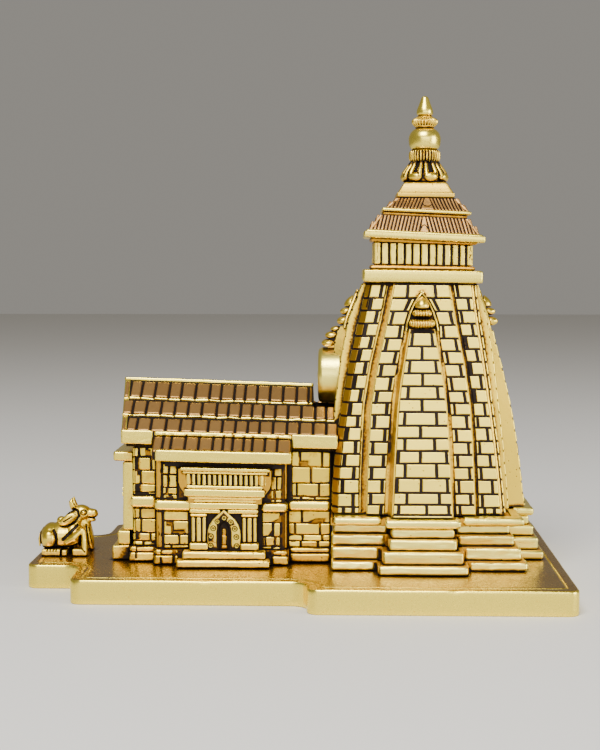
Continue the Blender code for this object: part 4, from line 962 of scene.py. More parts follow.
@dataclass
class Niche:
    """The niche on each long side: steps, fluted pilasters, pointed arch, stepped bands, bars and cornice."""

    middle: float = -26.3
    pilasters: tuple[Pair, ...] = ((-38.8, -32.9), (-19.6, -13.8))
    back: float = 29.1
    bosses: tuple[Point, ...] = ((-5.0, 17.3, 0.8), (-4.9, 20.9, 0.8), (-4.0, 24.0, 0.8), (-2.4, 26.6, 0.8),
        (0.1, 28.0, 0.85), (2.6, 26.4, 0.8), (4.1, 23.9, 0.8), (4.7, 20.7, 0.8), (4.8, 17.2, 0.8))
    bars: int = 15

    def arch(self) -> tuple[Shape, Shape]:
        """The pointed arch plate with its recess and bosses, and the dark lines in it."""
        half = 6.3
        side = [(half, 15.4), (half, 18.0), (half, 21.0), (half - 0.2, 23.2), (half - 0.9, 25.4),
                (half - 2.2, 27.4), (half - 3.9, 29.0), (half - 5.2, 30.2), (0.0, 31.4)]
        hole_side = [(2.3, 15.4), (2.3, 18.0), (2.3, 20.6), (2.3, 22.6), (2.15, 24.2), (1.75, 25.4),
                     (1.1, 26.3), (0.55, 26.7), (0.0, 26.9)]
        outer = side + [(-x, z) for x, z in reversed(side[:-1])]
        inner = hole_side + [(-x, z) for x, z in reversed(hole_side[:-1])]
        rings = []
        for t, reach in ((0.0, 31.0), (0.0, 32.2), (0.12 * 0.22, 32.5), (0.45 * 0.22, 32.6), (0.8, 32.6),
                         (0.93, 32.5), (1.0, 32.2), (1.0, 31.0)):
            rings.append([(self.middle + a + (c - a) * t, -reach, b + (d - b) * t)
                          for (a, b), (c, d) in zip(outer, inner)])
        count = len(outer)
        faces = []
        for k in range(len(rings)):
            low, high = k * count, ((k + 1) % len(rings)) * count
            faces += [(low + i, low + i + 1, high + i + 1, high + i) for i in range(count - 1)]
        last = [k * count + count - 1 for k in range(len(rings))]
        faces += [tuple(k * count for k in range(len(rings))), tuple(reversed(last))]
        plate = Shape([p for ring in rings for p in ring], faces).outwards()
        bosses, dots = [], []
        for x, z, radius in self.bosses:
            dots.append(loft([[(self.middle + x + (radius + 0.34) * math.cos(a), -32.3 - rise,
                                z + (radius + 0.34) * math.sin(a)) for a in wheel(16)]
                              for rise in (0.0, 0.36)]))
            rows = [(0.0, radius), (0.28, radius), (0.45, radius * 0.86), (0.42, radius * 0.62),
                    (0.12, radius * 0.45), (0.10, radius * 0.3), (0.32, radius * 0.14), (0.34, radius * 0.04)]
            bosses.append(loft([[(self.middle + x + r * math.cos(a), -32.45 - rise, z + r * math.sin(a))
                                 for a in wheel(14)] for rise, r in rows]))
        rim = [(self.middle + x * 1.02, -32.35, z + 0.1) for x, z in inner]
        return plate + total(bosses), total(dots) + tube(rim, 0.36)

    def build(self, foundry: Foundry) -> None:
        """Makes the niche on both sides."""
        lay = foundry.lay
        steps = lay([front((-44.0, -9.0), (9.3, 12.3), 37.2, 6.2),
                     front((-42.0, -10.6), (12.2, 15.3), 35.4, 5.0)],
                    Lay(rounds=4, middles=even(9), edge=0.8, joint=0.1, wobble=0.5, tilt=0.1, seed=3))
        smooth = Lay(rounds=3, middles=even(6), edge=0.42, joint=0.16, wobble=0.2, tilt=0.06,
                     stagger=0.05, seed=5)
        strips, blocks = [], []
        for left, right in self.pilasters:
            for span in split((left, right), (0.31, 0.69)):
                strips.append(front(span, (18.3, 28.4), 32.5, 1.4))
            blocks += [front((left - 0.6, right + 0.6), (15.4, 18.3), 33.5, 3.4),
                       front((left - 0.3, right + 0.3), (28.3, 29.6), 33.0, 3.0)]
        fluted = lay(strips, Lay(rounds=3, middles=even(2), edge=0.42, joint=0.6, wobble=0.25, tilt=0.15,
            seed=6))
        ends = lay(blocks, Lay(rounds=3, middles=even(2), edge=0.55, joint=0.2, wobble=0.3, tilt=0.1, seed=7))
        shafts = total(box((left + 0.2, right - 0.2), (-31.7, -self.back), (15.4, 29.6))
                       for left, right in self.pilasters)
        panel = box((-33.2, -19.2), (-31.0, -self.back), (15.3, 30.0)).dense(1.0, "xz")
        plate, lines = self.arch()
        lumps = ((-1.3, 1.2, (15.6, 17.4)), (-1.0, 1.0, (17.2, 21.2)), (-0.8, 0.9, (21.0, 23.6)))
        rough = Lay(rounds=3, middles=even(2), edge=0.5, joint=0.1, wobble=0.9, grain=0.8)
        figure = total(lay([front((self.middle + a, self.middle + b), z, 31.9, 1.2)],
                           replace(rough, seed=16 + k)) for k, (a, b, z) in enumerate(lumps))
        foundry.piece("niche_arches", [((fluted + ends).both(), WORN), (plate.both(), WORN),
                                       (lines.both(), JOINT_AND_SHADE), (figure.both(), AMBER_JOINT_AND_SHADE),
                                       (shafts.dense(1.2).both(), JOINT_AND_SHADE), (panel.both(), MORTAR)],
                      "niche_frame_front niche_frame_back", bend=sink)
        foundry.piece("niche_steps", [(steps.both(), WORN)], "niche_steps_front niche_steps_back", bend=sink)

        gap = 1.35
        bands = [front((-39.3, self.middle - gap), (29.7, 31.3), 32.9, 3.6),
                 front((self.middle + gap, -13.4), (29.7, 31.3), 32.9, 3.6),
                 front((-39.3, -13.4), (31.4, 33.8), 33.3, 4.0),
                 front((-38.6, -13.0), (33.9, 35.2), 32.9, 3.6),
                 front((-39.6, -12.2), (35.1, 36.3), 33.5, 4.0),
                 front((-41.2, -10.8), (36.3, 39.1), 34.3, 5.0),
                 front((-40.4, -11.6), (39.2, 40.5), 33.6, 4.3)]
        core = box((-38.6, -13.4), (-32.2, -self.back), (31.0, 47.0)).dense(1.4, "xz")
        curve = ((-43.2, 46.6), (-43.2, 41.6), (-42.6, 39.6), (-41.2, 37.6), (-39.7, 35.9), (-39.6, 33.6),
                 (-37.5, 33.6), (-37.5, 46.6))
        sides = [loft([[(x, -y, z) for x, z in line] for y in (28.8, 32.6, 33.2)]) for line in
                 (curve, [(2 * self.middle - x + 0.9, z) for x, z in curve])]
        brackets = total(side.dense(1.2, "xz") for side in sides)
        foundry.piece("niche_bands", [(lay(bands, smooth).both(), SATIN), (brackets.both(), AMBER_JOINT_AND_SHADE),
            (core.both(), MORTAR)], "lintel_front lintel_back", bend=sink)

        left, right = -40.4, -10.9
        pitch = (right - left) / self.bars
        posts = [front((left + pitch * (k + 0.10), left + pitch * (k + 0.78)), (40.5, 44.9), 33.8, 1.5)
                 for k in range(self.bars)]
        posts += [front((left - 0.5, left + 0.25), (40.5, 44.9), 33.7, 2.4),
                  front((right - 0.35, right + 0.5), (40.5, 44.9), 33.7, 2.4)]
        uprights = lay(posts, Lay(rounds=3, middles=(0.0,), edge=0.42, joint=0.12, stagger=0.3, tilt=0.35,
            wobble=0.25, seed=12))
        foundry.piece("niche_bars", [(uprights.both(), WORN)], "baluster_row_front baluster_row_back",
                      bend=sink)

        rails = [front((-41.8, -9.8), (44.9, 46.0), 34.0, 4.8), front((-42.6, -8.9), (46.0, 47.5), 34.5, 5.0)]
        # beam: near black as painted shade under the cornice
        beam = box((-48.6, -3.4), (-31.4, -self.back), (47.2, 50.2)).dense(1.4, "xz")
        foundry.piece("niche_cornices", [(lay(rails, smooth).both(), SATIN), (beam.both(), JOINT_AND_SHADE)],
                      "cornice_front cornice_back", bend=sink)


@dataclass
class HallEnd:
    """The hall's end away from the tower: steps, doorway in its frame and the bar over it."""

    face: float = -66.4
    door_top: float = 38.0

    def build(self, foundry: Foundry) -> None:
        """Makes the end."""
        lay = foundry.lay
        thick = Lay(rounds=4, middles=even(6), edge=0.8, joint=0.12, wobble=0.45, tilt=0.1, seed=21)
        steps = lay([facing_left((-22.4, 22.4), (9.3, 15.0), -70.5, 6.6),
                     facing_left((-21.0, 21.0), (14.9, 20.5), -68.6, 4.9)], thick)
        foundry.piece("front_steps", [(steps, WORN)], "front_step", bend=sink)
        low, top = 20.6, 47.2
        frame_cells, bricks = [], []
        rows = np.linspace(low, top - 1.6, 6).tolist()
        for sign in (-1, 1):
            jamb, post, panel = (tuple(sorted((sign * a, sign * b)))
                                 for a, b in ((17.2, 20.8), (6.4, 9.4), (9.6, 17.2)))
            frame_cells.append(facing_left(jamb, (low, top), self.face, 4.0))
            frame_cells.append(facing_left(post, (low, self.door_top - 1.0), self.face + 0.25, 2.2))
            for i, course in enumerate(zip(rows, rows[1:])):
                for part in split(panel, ((0.35,), (0.65,))[i % 2]):
                    bricks.append(facing_left(part, course, self.face + 0.5, 1.2))
        frame_cells += [facing_left((-17.2, 17.2), (top - 1.6, top), self.face, 3.0),
                        facing_left((-9.6, 9.6), (self.door_top + 2.2, self.door_top + 4.2), self.face + 0.2,
            2.2)]
        for part in split((-9.4, 9.4), (0.2, 0.4, 0.6, 0.8)):
            bricks.append(facing_left(part, (self.door_top + 4.3, top - 1.7), self.face + 0.5, 1.2))
        frame_shape = lay(frame_cells, Lay(rounds=3, middles=(-0.6, -0.2, 0.2, 0.6), edge=0.6, joint=0.3,
            wobble=0.3, seed=23))
        masonry = lay(bricks, Lay(seed=24, stagger=0.2, tilt=0.2))
        arch = []
        for k in range(13):
            a, b = math.pi * k / 13, math.pi * (k + 1) / 13
            arch.append(Cell(tuple((self.face + 0.2, -r * math.cos(t), self.door_top - 6.3 + r * math.sin(t))
                                   for r, t in ((6.2, a), (6.2, b), (8.8, b), (8.8, a))), 2.0))
        voussoirs = lay(arch, Lay(rounds=2, edge=0.4, joint=0.35, seed=25))
        door = lay([facing_left(span, (low + 0.2, high), self.face + 2.0, 1.0)
                    for span, high in zip(split((-5.8, 5.8), (0.25, 0.5, 0.75)), (34.0, 37.2, 37.2, 34.0))],
                   Lay(seed=26, joint=0.45, edge=0.4))
        spans = (((-20.3, -6.2), low), ((6.2, 20.3), low), ((-6.2, 6.2), self.door_top - 0.3))
        core = total(box((self.face + 1.2, -62.0), y, (z, top)) for y, z in spans)
        core += box((self.face + 2.9, -62.0), (-6.2, 6.2), (low, self.door_top))
        foundry.piece("front_doorway", [(frame_shape + voussoirs, SATIN), (masonry + door, WORN),
                                        (core.dense(1.4), JOINT_AND_SHADE)], "front_frame", bend=sink)
        bar = lay([facing_left((-21.8, 21.8), (47.4, 51.2), -69.8, 7.4)], thick)
        foundry.piece("front_lintel_bar", [(bar, SATIN)], "front_bar", bend=sink)


@dataclass
class TiledRoof:
    """The hall's gabled roof with its tile courses, and the porch roofs that carry on from it."""

    ridge_z: float = 78.2
    ridge_y: float = 0.8
    eave_y: float = 28.2
    eave_z: float = 60.0
    left: Pair = (-68.0, -65.7)
    right: float = 16.4
    drum: Pair = (6.6, 12.6)
    body: Pair = (15.3, 20.4)
    porch: Pair = (-53.2, -0.8)
    courses: tuple[Pair, ...] = ((0.05, 0.365), (0.415, 0.675), (0.735, 0.985))
    slots: tuple[Row, ...] = ((-64.9, -60.4, -55.1, -49.6, -44.8, -39.3, -33.7, -29.3, -24.1, -19.9, -15.2,
        -10.2, -5.1, 0.2, 4.8), (-62.6, -57.4, -51.7, -46.4, -41.3, -36.0, -30.3, -25.8, -21.0, -16.7, -12.3,
        -7.7, -2.8, 2.3, 7.6, 11.8), (-63.8, -59.9, -54.6, -48.9, -43.4, -38.6, -32.8, -27.5, -22.5, -17.8,
        -13.3, -8.2, -2.9, 1.8, 7.0, 12.0))
    porch_slots: Row = (-49.2, -46.1, -40.8, -35.7, -30.4, -26.6, -23.0, -18.9, -15.6, -10.9, -6.3)

    def spot(self, x: float, share: float, rise: float = 0.0) -> Point:
        """A point on the front slope, from 0 at the ridge to 1 at the eave, lifted square to it."""
        run, drop = self.eave_y - self.ridge_y, self.ridge_z - self.eave_z
        size = math.hypot(run, drop)
        return (x, -(self.ridge_y + run * share + rise * drop / size), self.ridge_z - drop * share + rise
                * run / size)

    def edge(self, share: float) -> float:
        """The roof's left end at a share of the slope."""
        return self.left[0] + (self.left[1] - self.left[0]) * share

    def end(self, share: float) -> float:
        """The roof's right end at a share of the slope: at the drum, the tower's band or the free end."""
        y = self.ridge_y + (self.eave_y - self.ridge_y) * share
        return self.drum[0] if y < self.drum[1] else self.body[0] if y < self.body[1] else self.right

    def row(self, bounds: Pair, slots: Sequence[float], rise: Pair, depth: float) -> list[Cell]:
        """The cells of one tile course.

        Args:
            bounds: its upper and lower edge as shares of the slope.
            slots: where the tiles are parted.
            rise: how far its upper and lower edges stand off the slope.
            depth: thickness.

        Returns:
            The cells.
        """
        high, low = bounds
        end = self.end((low + high) / 2)
        stops = [self.edge(low), *[x for x in slots if x < end - 1.0], end]
        cells = []
        for x0, x1 in zip(stops, stops[1:]):
            shift = self.edge(high) - self.edge(low) if x0 == stops[0] else 0.0
            cells.append(Cell((self.spot(x0, low, rise[1]), self.spot(x1, low, rise[1]),
                               self.spot(x1, high, rise[0]), self.spot(x0 + shift, high, rise[0])), depth))
        return cells

    def porch_spot(self, x: float, share: float, rise: float = 0.0) -> Point:
        """A point on the porch slope, from 0 at the eave above to 1 at its own board."""
        return (x, -(28.5 + 8.3 * share + rise * 0.5), 58.7 - 5.1 * share + rise * 0.86)

    def build(self, foundry: Foundry) -> None:
        """Makes the roof and both porch roofs."""
        lay = foundry.lay
        tiles, lips = [], []
        for bounds, slots in zip(self.courses, self.slots):
            tiles += self.row(bounds, slots, (-0.25, 0.0), 1.2)
        for (_, low), slots in zip(self.courses[:2], self.slots):
            lips += self.row((low - 0.006, low + 0.03), slots, (0.25, 0.30), 1.5)
        tiled = lay(tiles, Lay(rounds=2, middles=(-0.4, 0.4), edge=0.45, joint=0.95, stagger=0.1, tilt=0.14,
                               wobble=0.2, seed=31))
        lipped = lay(lips, Lay(rounds=3, middles=(-0.4, 0.4), edge=0.5, joint=0.1, stagger=0.25, tilt=0.5,
                               wobble=0.5, seed=32))
        rings = []
        for low, high in ((self.edge(1.0) + 1.9, self.edge(0.0) + 1.9), (self.right - 0.3, self.right - 0.3)):
            slope = [self.spot(low, 1.0, -0.85), self.spot(high, 0.0, -0.85)]
            rings.append([(low, -27.4, 55.2), *slope, *((x, -y, z) for x, y, z in reversed(slope)),
                          (low, 27.4, 55.2), (low, 26.0, 53.8), (low, -26.0, 53.8)])
        deck = self.trimmed(loft(rings)).dense(1.6)
        boards = [front((self.edge(1.0), self.porch[0] - 0.3), (54.9, 60.3), 28.2, 2.4),
                  front((self.porch[1] - 0.3, self.right), (54.9, 60.3), 28.2, 2.4),
                  front((self.porch[0] + 0.3, self.porch[1] - 0.3), (58.4, 60.1), 28.4, 2.2)]
        fascia = lay(boards, Lay(rounds=3, middles=even(8), edge=0.6, joint=0.06, wobble=0.3, tilt=0.1,
            seed=33))
        crest = [Cell(((self.left[0], -1.35, 76.7), (self.drum[0], -1.35, 76.7), (self.drum[0], -1.15, 78.25),
                       (self.left[0], -1.15, 78.25)), 2.5)]
        ridge = lay(crest, Lay(rounds=3, middles=even(20), edge=0.55, joint=0.0, wobble=0.45,
                               grain=0.3, tilt=0.05, stagger=0.0, seed=34))
        verges, panel = self.gable(foundry)
        foundry.piece("hall_roof_tiles", [
            (tiled.both(), TILE_REFLECTION), ((lipped + fascia).both(), SATIN), (ridge, SATIN),
            (verges, SATIN), (panel, WORN), (deck, JOINT_AND_SHADE)], "hall_roof", Slot.ROOF, bend=sink)

        stops = [self.porch[0] + 0.2, *self.porch_slots, self.porch[1] - 0.2]
        cells = [Cell((self.porch_spot(x0, 1.0), self.porch_spot(x1, 1.0), self.porch_spot(x1, 0.0),
                       self.porch_spot(x0, 0.0)), 1.2) for x0, x1 in zip(stops, stops[1:])]
        tiled = lay(cells, Lay(rounds=2, middles=(-0.4, 0.4), edge=0.45, joint=0.95, stagger=0.1, tilt=0.14,
                               wobble=0.2, seed=35))
        board = lay([front((self.porch[0] + 1.5, self.porch[1]), (49.7, 54.1), 36.8, 2.6)],
                    Lay(rounds=3, middles=even(12), edge=0.65, joint=0.0, wobble=0.35, tilt=0.1, seed=36))
        lip = [Cell((self.porch_spot(x0, 0.03, 0.40), self.porch_spot(x1, 0.03, 0.40),
                     self.spot(x1, 0.985, 0.25), self.spot(x0, 0.985, 0.25)), 1.5)
               for x0, x1 in zip(stops, stops[1:])]
        upper = lay(lip, Lay(rounds=3, middles=(-0.4, 0.4), edge=0.7, joint=0.12, stagger=0.2, tilt=0.3,
                             wobble=0.3, seed=37))
        side = [self.porch_spot(0, s, -0.8)[1:] for s in (0.0, 0.97)]
        body = loft([[(x, *side[0]), (x, *side[1]), (x, -36.2, 50.2), (x, -29.8, 49.9), (x, -28.5, 55.0)]
                     for x in (self.porch[0] + 0.3, self.porch[1] - 0.3)]).dense(1.5)
        foundry.piece("porch_roof_tiles",
                      [(tiled.both(), TILE_REFLECTION), ((board + upper).both(), SATIN), (body.both(), MORTAR)],
                      "porch_roof_front porch_roof_back", Slot.ROOF, bend=sink)

    def trimmed(self, deck: Shape) -> Shape:
        """Cuts the deck where the drum and the tower's band stand."""
        holder = in_scene("deck", deck.mesh("deck"))
        cutters = []
        for x, half in (self.drum, self.body):
            cutter = in_scene("cut", box((x - 0.1, 40.0), (-half, half), (40.0, 95.0)).mesh("cut"))
            modifier = holder.modifiers.new("Cut", "BOOLEAN")
            modifier.operation, modifier.solver, modifier.object = "DIFFERENCE", "EXACT", cutter
            cutters.append(cutter)
        shape = Shape.read(evaluated(holder))
        for used in (holder, *cutters):
            bpy.data.objects.remove(used)
        return shape

    def gable(self, foundry: Foundry) -> tuple[Shape, Shape]:
        """The verge boards and the coursed panel of the free end.

        Args:
            foundry: who casts them.

        Returns:
            The verges and the panel.
        """
        verge = []
        for sign in (-1, 1):
            for inner, outer, out in ((2.6, 0.0, 0.0), (4.2, 2.7, 0.45)):
                high, low = self.left[0] + out, self.left[1] + out
                low_out = (low, sign * (self.eave_y - outer * 1.2), 59.0 - 0.2 * outer)
                low_in = (low, sign * (self.eave_y - inner * 1.6), 57.2)
                high_out, high_in = ((high, sign * 0.02, self.ridge_z - 0.2 - s * 1.2)
                                     for s in (outer, inner))
                corners = (low_out, low_in, high_in, high_out) if sign > 0 else (low_in, low_out, high_out,
                    high_in)
                verge.append(Cell(corners, 2.2))
        rows = np.linspace(57.0, 74.2, 5)
        cells = []
        for i, (low, high) in enumerate(zip(rows, rows[1:])):
            wide = [(self.eave_y - 6.8) * (75.6 - z) / 18.6 for z in (low, high)]
            cuts = ((0.25, 0.5, 0.75), (0.17, 0.5, 0.83), (0.33, 0.67), (0.5,))[i]
            x = [self.left[1] + (self.left[0] - self.left[1]) * (z - 57.0) / 21.0 + 1.5 for z in (low, high)]
            for a, b in split((-1.0, 1.0), cuts):
                cells.append(Cell(((x[0], -a * wide[0], low), (x[0], -b * wide[0], low),
                                   (x[1], -b * wide[1], high), (x[1], -a * wide[1], high)), 1.0))
        base = [facing_left((-24.0, 24.0), (54.9, 57.0), self.left[1] + 0.3, 2.0)]
        verges = foundry.lay(verge + base, Lay(rounds=3, middles=even(6), edge=0.5, joint=0.1, seed=38))
        return verges, foundry.lay(cells, Lay(seed=39, stagger=0.2, tilt=0.2))


class Side(Enum):
    """The tower's faces, by the quarter turns that carry the front face to them."""

    FRONT = 0
    END = 1
    BACK = 2
    HALL = 3


@dataclass
class Tower:
    """The curved tower: plinth, sill, coursed bricks on its bands and ribs, and the ribs' crowns."""

    centre: float = TOWER_X
    body_z: Row = (29.2, 42.0, 55.0, 70.0, 86.0, 101.5, 115.6)
    corner: Row = (31.7, 30.5, 29.1, 27.1, 24.9, 22.5, 20.7)
    band: Row = (34.1, 33.0, 31.8, 30.0, 28.2, 26.0, 22.2)
    band_half: Row = (20.2, 19.8, 19.2, 18.3, 16.0, 12.9, 10.6)
    left_out: Row = (2.3, 3.1, 3.2, 3.1, 2.5, 1.3, 0.1)
    hall_band_out: Row = (-0.1, 1.0, 2.1, 2.9, 2.7, 1.9, 0.2)
    bevel: Row = (2.4, 1.0, 1.0, 2.4)
    rib_z: Row = (29.2, 36.0, 47.0, 59.0, 70.0, 79.0, 88.0, 94.0, 98.6)
    rib_reach: Row = (41.4, 40.4, 39.1, 37.4, 35.4, 33.4, 31.1, 29.6, 28.4)
    rib_half: Row = (11.4, 11.0, 10.5, 9.9, 9.15, 8.1, 6.6, 5.6, 4.8)
    rib_hall_out: Row = (0.0, 0.0, 0.0, 0.0, 0.0, 0.0, 2.3, 3.5, 3.0)
    groove_depth: float = 1.3
    relief: float = 0.75
    rib_rows: Row = (29.3, 30.7, 34.4, 38.7, 44.0, 49.4, 54.0, 58.6, 63.2, 68.2, 72.9, 77.6, 82.3, 87.1, 92.2,
                     97.4)
    band_rows: Row = (29.4, 33.2, 37.4, 42.5, 47.1, 51.8, 56.5, 61.4, 66.5, 71.0, 75.4, 80.7, 85.4, 90.2,
                      95.0, 100.0, 105.1, 110.0)
    corner_rows: Row = (29.4, 31.9, 36.9, 42.2, 46.9, 51.7, 56.6, 61.6, 65.9, 70.9, 75.9, 81.2, 86.1, 90.9,
                        95.7, 100.4, 105.3, 110.0, 115.3)
    rib_joints: tuple[Row, ...] = ((), (-0.79, 0.12, 0.85), (-0.54, 0.55), (-0.87, -0.06, 0.84),
        (-0.62, 0.48), (-0.87, -0.09, 0.85), (-0.66, 0.43), (-0.09,), (-0.71, 0.54), (-0.03,), (-0.63, 0.65),
        (-0.01,), (-0.68, 0.70), (-0.03,), (-0.70, 0.66))
    plinth: tuple[Row, ...] = ((9.3, 12.8, 39.3, 16.5, 48.3), (12.8, 17.7, 36.9, 14.9, 46.3),
                                             (17.7, 22.0, 34.6, 12.6, 44.6), (22.0, 25.8, 33.1, 11.7, 43.0))

    def span(self, left: float, right: float) -> Pair:
        """Limits along x, given from the tower's middle."""
        return self.centre + left, self.centre + right

    def at(self, z: float, values: Sequence[float], heights: Sequence[float] | None = None) -> float:
        """A profile's value at a height."""
        return float(np.interp(z, heights or self.body_z, values))

    def spread(self, points: np.ndarray) -> np.ndarray:
        """Moves the side towards the hall further out, as on the casting."""
        x, z = points[:, 0] - self.centre, points[:, 2]
        corner, out = np.interp(z, self.body_z, self.corner), np.interp(z, self.body_z, self.left_out)
        points[:, 0] -= np.where(x < 0, out * np.minimum(1.0, -x / corner) ** 3, 0.0)
        return points

    def reach(self, side: Side, z: float, rib: bool = False) -> float:
        """How far a face's band or rib stands out, before the spread."""
        base = self.at(z, self.rib_reach, self.rib_z) if rib else self.at(z, self.band)
        if side is not Side.HALL:
            return base
        return base - self.at(z, self.left_out) + (self.at(z, self.rib_hall_out, self.rib_z) if rib
            else self.at(z, self.hall_band_out))

    def edges(self, side: Side, sign: int) -> tuple[float, float, float]:
        """How one half of a face is laid out.

        Args:
            side: the face.
            sign: -1 for its left half, 1 for its right.

        Returns:
            How far the corner's bricks stay back, the gap beside the band, how much wider the rib's foot is.
        """
        if side.value % 2:
            return (2.4 if side is Side.HALL else 1.0), 1.6, 1.14
        return (1.6, 2.0, 1.12) if (side is Side.FRONT) == (sign < 0) else (1.7, 0.8, 1.03)

    def column(self, left: Callable[[float], float], right: Callable[[float], float],
               reach: Callable[[float], float], rows: Sequence[float],
               joints: Sequence[Sequence[float]]) -> tuple[list[Cell], Shape]:
        """One column of bricks on the front face.

        Args:
            left: its left edge at a height, from the face's middle.
            right: its right edge.
            reach: how far out its face stands.
            rows: heights of the bed joints.
            joints: for each course, shares at which it is cut.

        Returns:
            The cells and the dark plate that shows in the joints.
        """
        cells = []
        for low, high, cuts in zip(rows, rows[1:], joints):
            for a, b in split((0.0, 1.0), cuts):
                corners = [(self.centre + left(z) + (right(z) - left(z)) * s, -reach(z), z)
                           for s, z in ((a, low), (b, low), (b, high), (a, high))]
                cells.append(Cell(tuple(corners), self.relief + 0.3))
        plate = [[(self.centre + u, -reach(z) + deep, z)
                  for u, deep in ((left(z) + 0.6, 0.40), (right(z) - 0.6, 0.40), (right(z) - 0.6, 1.4),
            (left(z) + 0.6, 1.4))] for z in (rows[0] + 0.3, *rows[1:-1], rows[-1] - 0.3)]
        return cells, loft(plate)

    def columns(self, side: Side) -> list[tuple[list[Cell], Shape]]:
        """All brick columns of one face, laid out as on the front."""
        corner, half = (lambda z: self.at(z, self.corner)), (lambda z: self.at(z, self.band_half))
        band, rib = (lambda z: self.reach(side, z)), (lambda z: self.reach(side, z, True))
        rib_half = lambda z: self.at(z, self.rib_half, self.rib_z)
        hall = side is Side.HALL
        made = []
        swing = 0.05 * (side.value % 3)
        for sign in (-1, 1):
            back, gap, flare = self.edges(side, sign)
            free = lambda z: rib_half(z) * flare + (0.65 if z < 96.0 else 0.9) if z < 97.5 else \
                float(np.interp(z, (97.5, 101.1, 104.6, 107.9, 110.9, 112.0), (6.5, 5.9, 4.8, 3.3, 1.2, 0.2)))
            rows = self.corner_rows
            joints = [((0.22 + swing,), (0.69 - swing,))[(k + (sign > 0)) % 2] for k in range(len(rows) - 1)]
            joints[0] = (0.3, 0.7)
            limits = (lambda z: sign * (half(z) + gap)), (lambda z: sign * (corner(z) - back))
            made.append(self.column(*limits[::sign], corner, rows, joints))
            rows = self.band_rows[6 if hall else 0:]
            joints = [((0.76 - swing,), (0.24 + swing,))[(k + (sign > 0)) % 2] for k in range(len(rows) - 1)]
            made.append(self.column(lambda z: -half(z) - 0.2, lambda z: -free(z), band, rows, joints)
                        if sign < 0 else self.column(free, half, band, rows, joints))
        made.append(self.column(lambda z: -half(z), half, band, (110.1, 115.3), [(0.26, 0.73)]))
        first = 11 if hall else 0
        rows = (79.2, *self.rib_rows[12:]) if hall else self.rib_rows
        shares = [[(u + 1) / 2 for u in row] for row in self.rib_joints[first:]]
        made.append(self.column(lambda z: -rib_half(z), rib_half, rib, rows, shares))
        return made

    def core(self) -> tuple[Shape, Shape]:
        """The body behind the bricks, and the strips that line its grooves."""
        rings, strips = [], [[] for _ in range(8)]
        for z in np.linspace(29.3, 115.5, 58).tolist():
            half, ring = self.at(z, self.band_half), []
            corner = self.at(z, self.corner) - self.relief
            deep = self.at(z, self.corner) - self.groove_depth
            for turn, side in enumerate(Side):
                band = self.reach(side, z) - (0.05 if side is Side.HALL and z < 64 else self.relief)
                near, far = (half + self.edges(side, sign)[1] - 0.1 for sign in (-1, 1))
                first, last = self.bevel[turn], self.bevel[(turn + 1) % 4]
                quarter = [(u, -corner) for u in np.linspace(-corner + first, -near, 9)]
                quarter += [(-near, -deep), (-half - 0.6, -deep), (-half + 0.15, -deep),
                            (-half + 0.15, -band)]
                quarter += [(u, -band) for u in np.linspace(-half + 0.15, half - 0.15, 30)[1:]]
                quarter += [(half - 0.15, -deep), (half + 0.3, -deep), (far, -deep)]
                quarter += [(u, -corner) for u in np.linspace(far, corner - last, 9)]
                c, s = QUARTERS[turn]
                ring += [(self.centre + x * c - y * s, x * s + y * c, z) for x, y in quarter]
                for k, (u0, u1) in enumerate(((-near - 0.2, -half + 0.2), (half - 0.2, far + 0.2))):
                    strips[2 * turn + k].append([(self.centre + x * c - y * s, x * s + y * c, z)
                        for x, y in ((u0, -deep - 0.15), (u1, -deep - 0.15), (u1, -deep + 0.6),
                                     (u0, -deep + 0.6))])
            rings.append(ring)
        return loft(rings), total(loft(strip) for strip in strips)

    def bevels(self) -> tuple[list[Cell], Shape]:
        """The blocks of the bevelled front corner beside the hall, and the dark plate behind them."""
        def spot(z: float, left: bool, deep: float = 0.0) -> Point:
            """A point of the bevel's left or right edge."""
            corner, out, size = self.at(z, self.corner), self.at(z, self.left_out), self.bevel[0] + 0.1
            x, y = (-corner - out, -corner + size) if left else (-corner - out + size, -corner)
            return self.centre + x + deep, y + deep, z
        rows = self.corner_rows
        cells = [Cell((spot(a, True), spot(a, False), spot(b, False), spot(b, True)), 1.3)
                 for a, b in zip(rows, rows[1:])]
        plate = loft([[spot(z, True, 0.3), spot(z, False, 0.3), spot(z, False, 1.0), spot(z, True, 1.0)]
                      for z in (rows[0] + 0.3, *rows[1:-1], rows[-1] - 0.3)])
        return cells, plate

    def rib_body(self, side: Side) -> Shape:
        """The body of a rib with its flared sides."""
        rings = []
        for z in np.linspace(79.1 if side is Side.HALL else 29.3, 98.5, 40):
            half, face, back = self.at(z, self.rib_half, self.rib_z), self.reach(side, z,
                True) - self.relief, self.reach(side, z) - 1.0
            left, right = (half * self.edges(side, sign)[2] for sign in (-1, 1))
            share = np.linspace(0, 1, 6)
            ring = [(self.centre - left + (left - half + 0.1) * t, -back - (face - back) * t, z)
                    for t in share]
            ring += [(self.centre + u, -face, z) for u in np.linspace(-half + 0.1, half - 0.1, 16)[1:]]
            ring += [(self.centre + half - 0.1 + (right - half + 0.1) * t, -face + (face - back) * t, z)
                     for t in share[1:]]
            rings.append(ring)
        return loft(rings)

    def bolster(self, z: float, half: float, reach: float, size: Pair, flutes: int) -> Shape:
        """A level fluted bar with round ends.

        Args:
            z: height of its axis.
            half: half its length.
            reach: how far out its front stands.
            size: its radii, outwards and upwards.
            flutes: how many flutes run round it.

        Returns:
            The bar on the front face.
        """
        rings = []
        for u in np.linspace(-1, 1, 8 * flutes + 1):
            thin = math.sqrt(max(1 - abs(u) ** 5, 0.02)) * (1 - 0.12
                * (0.5 + 0.5 * math.cos(math.pi * u * flutes)) ** 2)
            rings.append([(self.centre + u * half, -reach + size[0] * (1 - thin * math.cos(a)),
                           z + size[1] * thin * math.sin(a)) for a in wheel(16)])
        return loft(rings)

